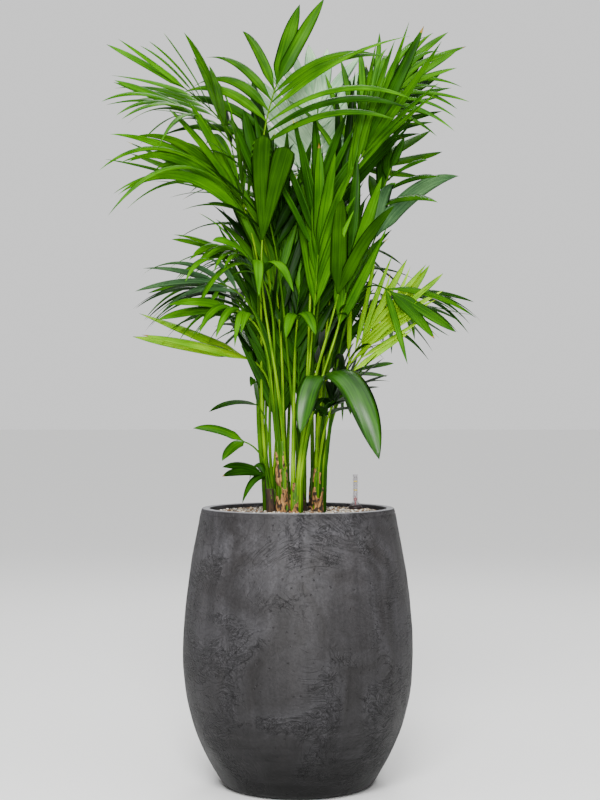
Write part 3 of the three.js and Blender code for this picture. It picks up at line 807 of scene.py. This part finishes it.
def growPalm():
    pieces = {"front": Gathering(), "back": Gathering(), "inner": Gathering(), "stalks": Gathering()}
    missing = 0
    for index, frond in enumerate(seatFronds()):
        tree = cadPoints(frond["name"])
        arch = archOf(frond, findSway(frond, tree))
        leaves = pieces["back" if "back" in frond["name"] else "front"]
        missing += addFrond(leaves, pieces["stalks"], frond, arch, index + 1, tree)
    addYoungFronds()
    for index, frond in enumerate(seatSprays()):
        addFrond(pieces["inner"], pieces["stalks"], frond, archOf(frond, 0), index + 101)
    print("leaflets that the solids leave out:", missing)
    return pieces


grown = growPalm()
frontFronds = grown["front"].make("fronds_front", leafMaterials, "leaf")
backFronds = grown["back"].make("fronds_back", leafMaterials, "leaf")
grown["inner"].make("fronds_inner", leafMaterials, "leaf")
grown["stalks"].make("petioles", leafMaterials, "leaf")
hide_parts(*[name for name in fronds if "back" not in name])
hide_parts(*[name for name in fronds if "back" in name])
print("fronds grown")


# Planter of fibre clay

planter = {
    "height": 649,
    "rimRadius": 226,
    "bellyRadius": 270.5,
    "bellyHeight": 318,
    "footRadius": 171,
    "footRound": 18,
    "footCurve": ((1, 0), (0.6, 0.6), (0.25, 3.2)),  # share of footRound inward, and height
    "wall": 19,
    "lipRound": 3,
    "groove": ((13.5, 0), (12, 1.1), (10, 1.1), (8.5, 0)),  # mm under the rim, and mm deep
    "inside": (635, 625, 610),  # heights of the rings inside, the last at the hidden floor
    "shoulderPower": 1.7,
    "heelPower": 2.3,
    "around": 300,
    "rows": 216,
}
trowel = {
    "dents": 0.9,  # mm deep
    "dentWidth": 52,
    "ripples": 0.9,  # mm high, about 9 mm apart
    "rippleTurns": 16,
    "swirl": 64,  # width of a swirl of ripples, which is flatter than wide
    "flatness": 1.9,
    "warp": 1.1,  # how far swirls bend, and how wide the bends are
    "warpWidth": 75,
    "patch": 105,
    "patchEdge": (0.02, 0.4),
    "sunk": 0.9,  # so that nothing stands out of the solid
    "footEdge": (14, 40),  # mm above the foot and below the rim where the marks fade
    "rimEdge": (40, 17),
}


def outerRadius(height):
    belly, middle = planter["bellyRadius"], planter["bellyHeight"]
    if height >= middle:
        rise = (height - middle) / (planter["height"] - middle)
        return belly - (belly - planter["rimRadius"]) * rise ** planter["shoulderPower"]
    fall = (middle - height) / middle
    return belly - (belly - planter["footRadius"]) * fall ** planter["heelPower"]


def trowelRelief(point):
    # shallow dents, and patches of swirled ripples where the clay was dragged
    dents = noise.noise(point / trowel["dentWidth"]) * trowel["dents"]
    swirls = Vector((point.x, point.y, point.z * trowel["flatness"])) / trowel["swirl"]
    swirls = swirls + noise.noise_vector(point / trowel["warpWidth"]) * trowel["warp"]
    ripple = abs(math.sin(noise.noise(swirls) * trowel["rippleTurns"])) - 0.5
    patch = eased(noise.noise(point / trowel["patch"] + Vector((7, 3, 1))), *trowel["patchEdge"])
    rimStart, rimEnd = (planter["height"] - below for below in trowel["rimEdge"])
    fade = eased(point.z, *trowel["footEdge"]) * (1 - eased(point.z, rimStart, rimEnd))
    return (dents + ripple * trowel["ripples"] * patch - trowel["sunk"]) * fade


def rounded(centre, radius, start, end, count):
    turns = np.radians(np.linspace(start, end, count))
    return [(centre[0] + radius * math.cos(turn), centre[1] + radius * math.sin(turn)) for turn in turns]


def lathe(profile, around, relief=None):
    # a closed solid of revolution about Z; the profile starts and ends on the axis
    turns = circle(around)
    points, coordinates = [(0, 0, profile[0][1])], [(0, 0)]
    travelled = 0
    for k, (radius, height) in enumerate(profile[1:-1], 1):
        travelled += math.dist(profile[k - 1], (radius, height))
        for turn in turns:
            out = radius
            if relief:
                out += relief(Vector((radius * math.cos(turn), radius * math.sin(turn), height)))
            points.append((out * math.cos(turn), out * math.sin(turn), height))
            coordinates.append((turn * radius, travelled))
    points.append((0, 0, profile[-1][1]))
    coordinates.append((0, travelled))
    faces = tubeFaces(len(profile) - 2, around, tip=True, pole=True)
    return np.array(points), faces, np.array(coordinates)


def planterProfile():
    height, wall, lip = planter["height"], planter["wall"], planter["lipRound"]
    foot, outer = outerRadius(0), outerRadius(height)
    profile = [(0, 0)] + [(foot - planter["footRound"] * part, level) for part, level in planter["footCurve"]]
    profile.append((outerRadius(5) - 0.6, 7))
    profile += [(outerRadius(level), level) for level in np.linspace(12, height - 16, planter["rows"])]
    # a shallow groove under the lip, where the mould was parted
    profile += [(outerRadius(height - below) - deep, height - below) for below, deep in planter["groove"]]
    profile += rounded((outer - lip, height - lip), lip, 0, 90, 5)
    profile += rounded((outer - wall + lip, height - lip), lip, 90, 180, 5)
    profile += [(outerRadius(level) - wall, level) for level in planter["inside"]]
    return profile + [(0, planter["inside"][-1])]


# A pattern's size is in millimetres, as a metre divided by how many go to it.
clay = {
    "dark": "#1a1715",
    "light": "#454447",
    # pale grey of the painted highlight on the rim's edge
    "edge": "#a2a2a7",
    # height in metres, and how light the wall is painted there: painted shade toward the foot, a painted
    # highlight high on the belly
    "levels": (
        (0.0, 0.05), (0.06, 0.15), (0.16, 0.42), (0.33, 0.62), (0.47, 0.84), (0.56, 1.0), (0.63, 0.88),
    ),
    "cloud": 1000 / 7,
    "grain": 1000 / 170,  # real grit is under 1 mm and wouldn't show
    "flow": 1000 / 4.2,
    "flowLevel": 1.5,  # how much longer drag marks are than high
    "flowTurns": 110,  # how many nested lines the drag marks have
    "patch": 1000 / 7.5,
    "fold": 1000 / 17,
    "foldTurns": 42,
    "runWidth": 25,
    "runLength": 1000 / 1.8,
    "smearLength": 1000 / 7,
    "smearHeight": 1000 / 55,
    "pit": 1000 / 55,  # between one pit and the next
    "relief": 2.8,
    "paintedRimHighlight": (0.6474, 0.6488),  # m, where the rim's edge is painted pale as a highlight
}


def clayMaterial():
    # Cast fibre clay, trowelled by hand and left unsealed: dull and cloudy, with drag marks, rippled
    # patches, small pits and faint runs, with painted shade that darkens it toward the foot and a
    # painted highlight high on the belly.
    material = newMaterial("fibre_clay_trowelled")
    where = addNode(material, "TexCoord").outputs["Object"]
    height = addNode(material, "SeparateXYZ", {"Vector": where}).outputs["Z"]
    clouds = addNode(
        material, "TexNoise", {"Vector": where},
        {"Scale": scaleOf(clay["cloud"]), "Detail": 8, "Roughness": 0.66, "Distortion": 1.0},
    )
    tones = ((0.22, linear(clay["dark"])), (0.74, linear(clay["light"])))
    colour = addNode(material, "ValToRGB", {"Fac": clouds}, ramp=tones)
    grain = addNode(
        material, "TexNoise", {"Vector": where},
        {"Scale": scaleOf(clay["grain"]), "Detail": 5, "Roughness": 0.75},
    )
    speckle = addNode(material, "MapRange", {"Value": grain}, between(0.32, 0.66, 0.72, 1.3))
    # drag marks: thin nested lines along the way of the trowel, which come and go
    level = addNode(material, "Mapping", {"Vector": where}, {"Scale": (1, 1, clay["flowLevel"])})
    flow = addNode(
        material, "TexNoise", {"Vector": level},
        {"Scale": scaleOf(clay["flow"]), "Detail": 4, "Roughness": 0.5, "Distortion": 1.5},
    )
    flowTurn = addNode(material, "Math", {0: flow}, {1: clay["flowTurns"]}, {"operation": "MULTIPLY"})
    flowWave = addNode(material, "Math", {0: flowTurn}, settings={"operation": "SINE"})
    lines = addNode(material, "MapRange", {"Value": flowWave}, between(0.5, 1.0))
    patches = addNode(
        material, "TexNoise", {"Vector": where},
        {"Scale": scaleOf(clay["patch"]), "Detail": 3, "Distortion": 0.8},
    )
    lineMask = addNode(material, "MapRange", {"Value": patches}, between(0.4, 0.58, 0.12))
    marks = addNode(material, "Math", {0: lines, 1: lineMask}, settings={"operation": "MULTIPLY"})
    # rippled patches, where the clay folded under the trowel
    folds = addNode(
        material, "TexNoise", {"Vector": level},
        {"Scale": scaleOf(clay["fold"]), "Detail": 3, "Roughness": 0.5, "Distortion": 2.4},
    )
    foldTurn = addNode(material, "Math", {0: folds}, {1: clay["foldTurns"]}, {"operation": "MULTIPLY"})
    foldWave = addNode(material, "Math", {0: foldTurn}, settings={"operation": "SINE"})
    foldMask = addNode(material, "MapRange", {"Value": patches}, between(0.5, 0.6))
    ripples = addNode(material, "Math", {0: foldWave, 1: foldMask}, settings={"operation": "MULTIPLY"})
    # runs: faint upright streaks where water has carried fines down the wall
    across, length = scaleOf(clay["runWidth"]), scaleOf(clay["runLength"])
    upright = addNode(material, "Mapping", {"Vector": where}, {"Scale": (across, across, length)})
    runs = addNode(
        material, "TexNoise", {"Vector": upright},
        {"Scale": 1, "Detail": 4, "Roughness": 0.6, "Distortion": 0.4},
    )
    runTone = addNode(material, "MapRange", {"Value": runs}, between(0.36, 0.68, 0.8, 1.2))
    # smears: level dark streaks about the foot
    across, length = scaleOf(clay["smearHeight"]), scaleOf(clay["smearLength"])
    streaks = addNode(material, "Mapping", {"Vector": where}, {"Scale": (length, length, across)})
    smears = addNode(material, "TexNoise", {"Vector": streaks}, {"Scale": 1, "Detail": 4, "Distortion": 0.5})
    smearTone = addNode(material, "MapRange", {"Value": smears}, between(0.46, 0.62, 1.0, 0.4))
    footMask = addNode(material, "MapRange", {"Value": height}, between(0.1, 0.2, 1, 0))
    # pits left by air in the cast
    holes = {"Scale": scaleOf(clay["pit"]), "Randomness": 1}
    bubbles = addNode(material, "TexVoronoi", {"Vector": where}, holes)
    pits = addNode(material, "MapRange", {"Value": bubbles}, between(0.06, 0.15, 0.5, 1))
    scaled = {"operation": "MULTIPLY_ADD"}
    markTone = addNode(material, "Math", {0: marks}, {1: -0.5, 2: 1.1}, scaled)
    rippleTone = addNode(material, "Math", {0: ripples}, {1: 0.24, 2: 1.0}, scaled)
    # painted shade and highlight by height: darker toward the foot, lightest high on the belly
    steps = [(place, (lightness,) * 3 + (1,)) for place, lightness in clay["levels"]]
    paintedShadeAndHighlight = addNode(material, "ValToRGB", {"Fac": height}, ramp=steps)
    darken = {"data_type": "RGBA", "blend_type": "MULTIPLY"}
    for factor in (speckle, runTone, pits, markTone, rippleTone, paintedShadeAndHighlight):
        colour = addNode(material, "Mix", {"A": colour, "B": factor}, {"Factor": 1.0}, darken)
    colour = addNode(material, "Mix", {"Factor": footMask, "A": colour, "B": smearTone}, settings=darken)
    # painted highlight: the rim's edge is mixed toward a pale grey
    paintedRimHighlight = addNode(material, "MapRange", {"Value": height}, between(*clay["paintedRimHighlight"], 0, 0.7))
    colour = addNode(
        material, "Mix", {"Factor": paintedRimHighlight, "A": colour}, {"B": linear(clay["edge"])}, {"data_type": "RGBA"}
    )
    fine = addNode(material, "Math", {0: grain, 2: pits}, {1: 0.35}, scaled)
    dragged = addNode(material, "Math", {0: marks, 2: fine}, {1: -0.5}, scaled)
    folded = addNode(material, "Math", {0: ripples, 2: dragged}, {1: 0.55}, scaled)
    dull = addNode(material, "MapRange", {"Value": clouds}, between(0.3, 0.7, 0.46, 0.66))
    return finishMaterial(
        material, {"IOR": 1.5, "Specular IOR Level": 0.2}, {"Base Color": colour, "Roughness": dull},
        (folded, 0.9, clay["relief"]),
    )


points, faces, coordinates = lathe(planterProfile(), planter["around"], trowelRelief)
planterPiece = makePiece(
    "planter_trowelled", points, faces, [clayMaterial()], np.zeros(len(faces)), coordinates
)
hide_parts("planter")
print("planter made")


# Granulate: a bed of small crushed stones, and the gauge that stands in it; millimetres

granulate = {
    "radius": 205,
    "spacing": 6.0,
    "jitter": 0.42,  # beside the spacing
    "smallest": 2.7,
    "largest": 4.6,
    "fewLarge": 1.6,
    "corner": (0.72, 1.15),  # how far a stone's corners stand in and out
    "stretch": (0.65, 1.15),
    "sunk": 1.5,  # how far the stones' middles lie under the level
    "scatter": (-2.4, 1.4),
    "edgeDrop": 5,
    "edgeWidth": 24,
    "stemShare": 0.8,  # stones lie up to this share of a stem's radius
    # stones keep this far from the gauge's collar, which leaves a dark ring of the painted-shade bed round it
    "gaugeRoom": 9,
    "pore": 1000 / 700,
    "relief": 0.4,
    "roughness": 0.92,
}
gauge = {
    "x": 138,
    "y": 90,
    "around": 48,
    "collarRadius": 17,
    "collarHeight": 9,
    "neckRadius": 12,
    "coneHeight": 10,
    "tubeRadius": 6.2,
    "tubeWall": 1.4,
    "tubeHeight": 64,
    "pinRadius": 2.2,
    "pinHeight": 22,
    "beadRadius": 4.3,
    "beadHeight": 13.4,  # above the collar, as the marks are
    "markHeights": (36, 57),  # low and full
    "markTall": 2.4,
    "markTurn": 45,  # degrees to each side of the front
}


def stoneMaterial(name, base, light):
    # Crushed pumice and clay granules: dry, chalky and full of pores.
    material = newMaterial(name)
    where = addNode(material, "TexCoord").outputs["Object"]
    pores = {"Scale": scaleOf(granulate["pore"]), "Detail": 3}
    grain = addNode(material, "TexNoise", {"Vector": where}, pores)
    tone = addNode(material, "ValToRGB", {"Fac": grain}, ramp=((0.35, linear(base)), (0.65, linear(light))))
    values = {"Roughness": granulate["roughness"]}
    return finishMaterial(material, values, {"Base Color": tone}, (grain, 0.6, granulate["relief"]))


# Tones of the stones, and the share of each.
stoneTones = {
    "granule_white": ("#cfc8bc", "#f1ece2", 0.27),
    "granule_beige": ("#a08e76", "#cdbca0", 0.25),
    "granule_brown": ("#5f4732", "#8a6a4c", 0.25),
    "granule_grey": ("#77736c", "#a29d94", 0.14),
    "granule_dark": ("#2c241d", "#4a3d31", 0.18),
}
stoneMaterials = [stoneMaterial(name, base, light) for name, (base, light, _) in stoneTones.items()]
# The bed under the stones is near black: painted shade in the gaps between them.
shadeBedMaterial = stoneMaterial("granulate_bed_painted_shade", "#1c1611", "#3a3026")


def stoneSpots():
    # places in a jittered triangular grid, clear of the stems and the gauge
    step, reach = granulate["spacing"], granulate["radius"]
    rowStep = step * math.sqrt(0.75)
    spots = []
    for row in range(int(-reach / rowStep), int(reach / rowStep) + 1):
        for column in range(int(-reach / step) - 1, int(reach / step) + 2):
            spots.append(((column + 0.5 * (row % 2)) * step, row * rowStep))
    jitter = granulate["jitter"]
    spots = np.array(spots) + random.uniform(-jitter, jitter, (len(spots), 2)) * step
    keep = np.hypot(*spots.T) < reach
    for stem in stems.values():
        keep &= np.hypot(*(spots - (stem["x"], stem["y"])).T) > stem["radius"] * granulate["stemShare"]
    room = gauge["collarRadius"] + granulate["gaugeRoom"]
    return spots[keep & (np.hypot(*(spots - (gauge["x"], gauge["y"])).T) > room)]


def scatterStones():
    spots = stoneSpots()
    count = len(spots)
    # every stone is an icosahedron with its corners moved
    golden = (1 + math.sqrt(5)) / 2
    corners = [np.roll((a, b, 0), axis) for axis in range(3) for b in (golden, -golden) for a in (-1, 1)]
    corners = np.array(corners) / math.hypot(1, golden)
    sides = [(0, 11, 5), (0, 5, 1), (0, 1, 7), (0, 7, 10), (0, 10, 11), (1, 5, 9), (5, 11, 4), (11, 10, 2)]
    sides += [(10, 7, 6), (7, 1, 8), (3, 9, 4), (3, 4, 2), (3, 2, 6), (3, 6, 8), (3, 8, 9), (4, 9, 5)]
    sides = np.array(sides + [(2, 4, 11), (6, 2, 10), (8, 6, 7), (9, 8, 1)])
    sizes = random.random(count) ** granulate["fewLarge"]
    radii = granulate["smallest"] + (granulate["largest"] - granulate["smallest"]) * sizes
    shapes = corners[None] * random.uniform(*granulate["corner"], (count, 12, 1))
    shapes = shapes * random.uniform(*granulate["stretch"], (count, 1, 3))
    turns, tilts = random.uniform(0, 2 * math.pi, count), random.uniform(-1, 1, count)
    c, s, ct, st = np.cos(turns), np.sin(turns), np.cos(tilts), np.sin(tilts)
    rows = ((c, -s * ct, s * st), (s, c * ct, -c * st), (0 * c, st, ct))
    turned = np.stack([np.stack(row, -1) for row in rows], 1)
    shapes = np.einsum("nij,nkj->nki", turned, shapes) * radii[:, None, None]
    width = granulate["edgeWidth"]
    edge = np.clip((np.hypot(*spots.T) - (granulate["radius"] + 2 - width)) / width, 0, 1)
    heights = bedLevel - granulate["sunk"] - granulate["edgeDrop"] * edge
    heights = heights + random.uniform(*granulate["scatter"], count)
    shapes += np.column_stack((spots, heights))[:, None, :]
    faces = (sides[None] + 12 * np.arange(count)[:, None, None]).reshape(-1, 3)
    shares = np.cumsum([part for _, _, part in stoneTones.values()])
    chosen = np.searchsorted(shares, random.random(count) * shares[-1])
    return shapes.reshape(-1, 3), faces.tolist(), np.repeat(chosen, len(sides))


points, faces, slots = scatterStones()
makePiece("granulate_stones", points, faces, stoneMaterials, slots, smooth=False)
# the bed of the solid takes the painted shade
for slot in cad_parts["granulate"].material_slots:
    slot.material = shadeBedMaterial
print("granulate strewn")


# Water gauge

plastic = {"wave": 1000 / 220, "relief": 0.2, "ior": 1.49}  # mm


def plasticMaterial(name, colour, roughness, clearness=0.0):
    # Injection-moulded plastic: an even, slightly wavy gloss. Clearness is what each face of a
    # thin wall lets through: four faces in a row make a milky tube.
    material = newMaterial(name)
    where = addNode(material, "TexCoord").outputs["Object"]
    waves = addNode(material, "TexNoise", {"Vector": where}, {"Scale": scaleOf(plastic["wave"]), "Detail": 1})
    values = {"Base Color": linear(colour), "Roughness": roughness, "IOR": plastic["ior"]}
    values["Alpha"] = 1 - clearness
    return finishMaterial(material, values, relief=(waves, 0.15, plastic["relief"]))


def addTurned(name, profile, low, material, replaced):
    raised = [(radius, height + low) for radius, height in profile]
    points, faces, coordinates = lathe(raised, gauge["around"])
    place = (gauge["x"], gauge["y"], 0)
    made = makePiece(name, points + place, faces, [material], np.zeros(len(faces)), coordinates)
    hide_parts(replaced)


def addMark(name, height, low, material):
    # a printed dash round the tube's front: its section turned about the gauge's axis
    tube, wall = gauge["tubeRadius"], gauge["tubeWall"]
    half, most = gauge["markTall"] / 2, gauge["markTurn"]
    inner, outer = tube - wall * 0.5, tube + 0.15
    bottom, top = height + low - half, height + low + half
    section = [(inner, bottom), (outer, bottom), (outer, top), (inner, top)]
    turns = np.radians(np.linspace(-90 - most, -90 + most, 17))
    points = [(out * math.cos(turn), out * math.sin(turn), level) for turn in turns for out, level in section]
    faces = tubeFaces(len(turns), len(section))
    place = (gauge["x"], gauge["y"], 0)
    makePiece(name, np.array(points) + place, faces, [material], np.zeros(len(faces)))


def addGauge():
    base = bedLevel + clear
    radius, neck, high = gauge["collarRadius"], gauge["neckRadius"], gauge["collarHeight"]
    collar = [(0, 0), (radius - 0.4, 0), (radius, 0.5)]
    collar += rounded((radius - 1.2, high * 0.5 - 0.6), 1.2, 0, 70, 4)
    collar += [(neck + 1.6, high - 0.8), (neck + 0.6, high), (neck - 1.6, high)]
    collar += [(neck - 2, high - 1), (0, high - 1)]
    dark = plasticMaterial("plastic_collar", "#2c2023", 0.38)
    addTurned("gauge_base_ring", collar, base, dark, "gauge_collar")
    low = base + high + clear
    cone, tube, wall = gauge["coneHeight"], gauge["tubeRadius"], gauge["tubeWall"]
    top = cone + gauge["tubeHeight"]
    cap = [(0, top)] + rounded((tube - 2, top - 2), 2, 90, 0, 5)
    cap += [(tube, cone + 2), (tube + 0.6, cone), (neck - 0.5, 1.2), (neck, 0.6), (neck, 0), (neck - wall, 0)]
    cap += [(tube - wall + 0.3, cone), (tube - wall, cone + 1), (tube - wall, top - wall), (0, top - wall)]
    milky = plasticMaterial("plastic_clear", "#958e96", 0.2, 0.76)
    addTurned("gauge_clear_tube", cap[::-1], low, milky, "gauge_tube")
    # the pin's stem, the bead that is read against the marks, and its fine point
    thick, tip = gauge["pinRadius"], gauge["pinHeight"]
    bead, middle = gauge["beadRadius"], gauge["beadHeight"]
    pin = [(0, 0), (thick, 0), (thick, middle - bead)] + rounded((0, middle), bead, -50, 75, 6)
    pin += [(0.9, middle + bead), (0.6, tip), (0, tip)]
    red = plasticMaterial("plastic_red", "#c8200c", 0.35)
    addTurned("gauge_pin", pin, low, red, "gauge_float")
    yellow = plasticMaterial("print_yellow", "#f6d62c", 0.5)
    for k, height in enumerate(gauge["markHeights"]):
        addMark(f"gauge_mark_{k + 1}", height, low, yellow)


addGauge()
print("gauge made")


# Stems: bundles of old leaf sheaths

sheath = {
    "around": 44,
    "rings": 64,
    "sink": 5,  # mm into the granulate
    "core": 0.8,  # share of the solid's radius under the sheaths
    "lift": 0.3,  # how far a sheath stands out, as a share of the radius
    "frill": 0.05,
    "frillHeight": 30,  # mm
    "tornHeight": 42,
    "edge": 0.16,  # how soft the edge of a torn sheath is
    "flare": 0.18,
    "flareHeight": 0.16,  # share of the stem
    "darkFoot": 0.22,
}
# How far up each stem is clad, and how dark its sheaths are: partly their age, as on the old small stub, and
# partly painted shade on the stems that stand further back.
stemWearAndShade = {
    "stem_front_left": (0.62, 0.5),
    "stem_front": (0.5, 0.45),
    "stem_left": (0.8, 1.0),
    "stem_right": (0.62, 0.55),
    "stem_middle": (0.6, 1.0),
    "stem_back_left": (0.5, 0.7),
    "stem_back_right": (0.6, 0.8),
    "stem_small": (1.4, 1.3),
}


def addStem(gathering, index, name):
    stem = stems[name]
    clad, ageAndShade = stemWearAndShade[name]
    around, rings, sink = sheath["around"], sheath["rings"], sheath["sink"]
    rows, coordinates, cover = [], [], []
    turns = circle(around)
    for k in range(rings + 1):
        along = k / rings
        middle = np.array((stem["x"] + stem["leanX"] * along, stem["y"] + stem["leanY"] * along, 0))
        height = soilLevel - sink + (stem["height"] + sink) * along
        flare = 1 + sheath["flare"] * max(0, 1 - along / sheath["flareHeight"])
        full = stem["radius"] * flare * (1 - (1 - stemTopShare) * along)
        for turn in turns:
            x, y = math.cos(turn), math.sin(turn)
            spot = Vector((x * 1.1, y * 1.1, height / sheath["tornHeight"])) + Vector((0, 0, index * 9.7))
            torn = noise.noise(spot) + 0.35 * noise.noise(spot * 3.1) + 0.9 * (clad - along)
            frill = noise.noise(Vector((x * 6, y * 6, height / sheath["frillHeight"] + index)))
            over = eased(torn, 0.0, sheath["edge"])
            out = full * (sheath["core"] + sheath["lift"] * over + sheath["frill"] * frill)
            rows.append(middle + np.array((x * out, y * out, height)))
            cover.append(torn)
        coordinates.append(np.column_stack((turns * full, np.full(around, height))))
    brown, dark, green = range(3)
    slots = [dark]
    for k in range(rings):
        foot = max(0, sheath["darkFoot"] - k / rings)
        for i in range(around):
            # the stem's second value darkens its sheaths: their age, and painted shade on the stems further
            # back
            old = noise.noise(Vector((turns[i] * 2, k / 5, index * 3.3))) * 0.7 + ageAndShade - 0.5 + 1.1 * foot
            isClad = cover[k * around + i] > sheath["edge"] / 2
            slots.append((dark if old > 0.15 else brown) if isClad else green)
    slots.append(green)
    gathering.add(np.vstack(rows), tubeFaces(rings + 1, around), slots, np.vstack(coordinates))


def addStems():
    gathering = Gathering()
    for index, name in enumerate(stemNames):
        addStem(gathering, index, name)
    made = gathering.make("stem_sheaths", sheathMaterials, "leaf_sheath")
    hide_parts(*stemNames)


addStems()
print("stems made")


# Floor, lights and world

studio = {
    "floorSize": 60,  # m
    "floor": "#fbfbfa",
    "aim": (0, 0, 1.0),
    # strengths of the wall of light behind the palm, the dim ceiling and the softbox overhead; the
    # edges are given as the upward part of the direction
    "wall": 1.25,
    "wallTop": (0.2, 0.4),
    "ceiling": 0.2,
    "softbox": 3.6,
    "softboxEdge": (0.78, 0.88),
    # dark screens at both sides and in front, by how far a direction points back, and what they pass
    "screens": (0.55, 0.94),
    "through": 0.22,
}
# Place in metres, width and power of each lamp.
lamps = {
    "key": ((-0.35, -3.25, 3.3), 1.3, 200),
    "fill": ((0.05, -3.6, 1.45), 0.8, 115),
    "back": ((0.2, 3.6, 3.7), 1.5, 70),
}


def addFloor():
    # Matt white studio board: even, with no shine.
    material = newMaterial("floor_matt_white")
    finishMaterial(material, {"Base Color": linear(studio["floor"]), "Roughness": 0.9})
    mesh = bpy.data.meshes.new("floor")
    size = studio["floorSize"]
    corners = [(-size, -size, 0), (size, -size, 0), (size, size, 0), (-size, size, 0)]
    mesh.from_pydata(corners, [], [(0, 1, 2, 3)])
    mesh.materials.append(material)
    floor = addObject("floor", mesh)


def addWorld():
    world = bpy.data.worlds.new("studio")
    world.use_nodes = True
    world.node_tree.nodes.clear()
    way = addNode(world, "SeparateXYZ", {"Vector": addNode(world, "TexCoord").outputs["Generated"]})
    height, back = way.outputs["Z"], way.outputs["Y"]
    soft = {"interpolation_type": "SMOOTHSTEP"}
    wall = between(*studio["wallTop"], studio["wall"], studio["ceiling"])
    low = addNode(world, "MapRange", {"Value": height}, wall, soft)
    behind = addNode(world, "MapRange", {"Value": back}, between(*studio["screens"], studio["through"]), soft)
    walls = addNode(world, "Math", {0: low, 1: behind}, settings={"operation": "MULTIPLY"})
    softbox = between(*studio["softboxEdge"], 0, studio["softbox"])
    top = addNode(world, "MapRange", {"Value": height}, softbox, soft)
    light = addNode(world, "Math", {0: walls, 1: top}, settings={"operation": "ADD"})
    # what stands behind the palm is the same pale wall from every side
    rays = addNode(world, "LightPath").outputs["Is Camera Ray"]
    seen = addNode(world, "Mix", {"Factor": rays, "A": light}, {"B": studio["wall"]})
    background = addNode(world, "Background", {"Strength": seen})
    addNode(world, "OutputWorld", {"Surface": background})
    bpy.context.scene.world = world


def addLamps():
    for name, (place, width, power) in lamps.items():
        data = bpy.data.lights.new(name, "AREA")
        data.size = width
        data.energy = power
        made = addObject(name, data)
        made.location = place
        made.visible_camera = False
        made.rotation_euler = (Vector(studio["aim"]) - Vector(place)).to_track_quat("-Z", "Y").to_euler()


addFloor()
addWorld()
addLamps()
print("studio lit")
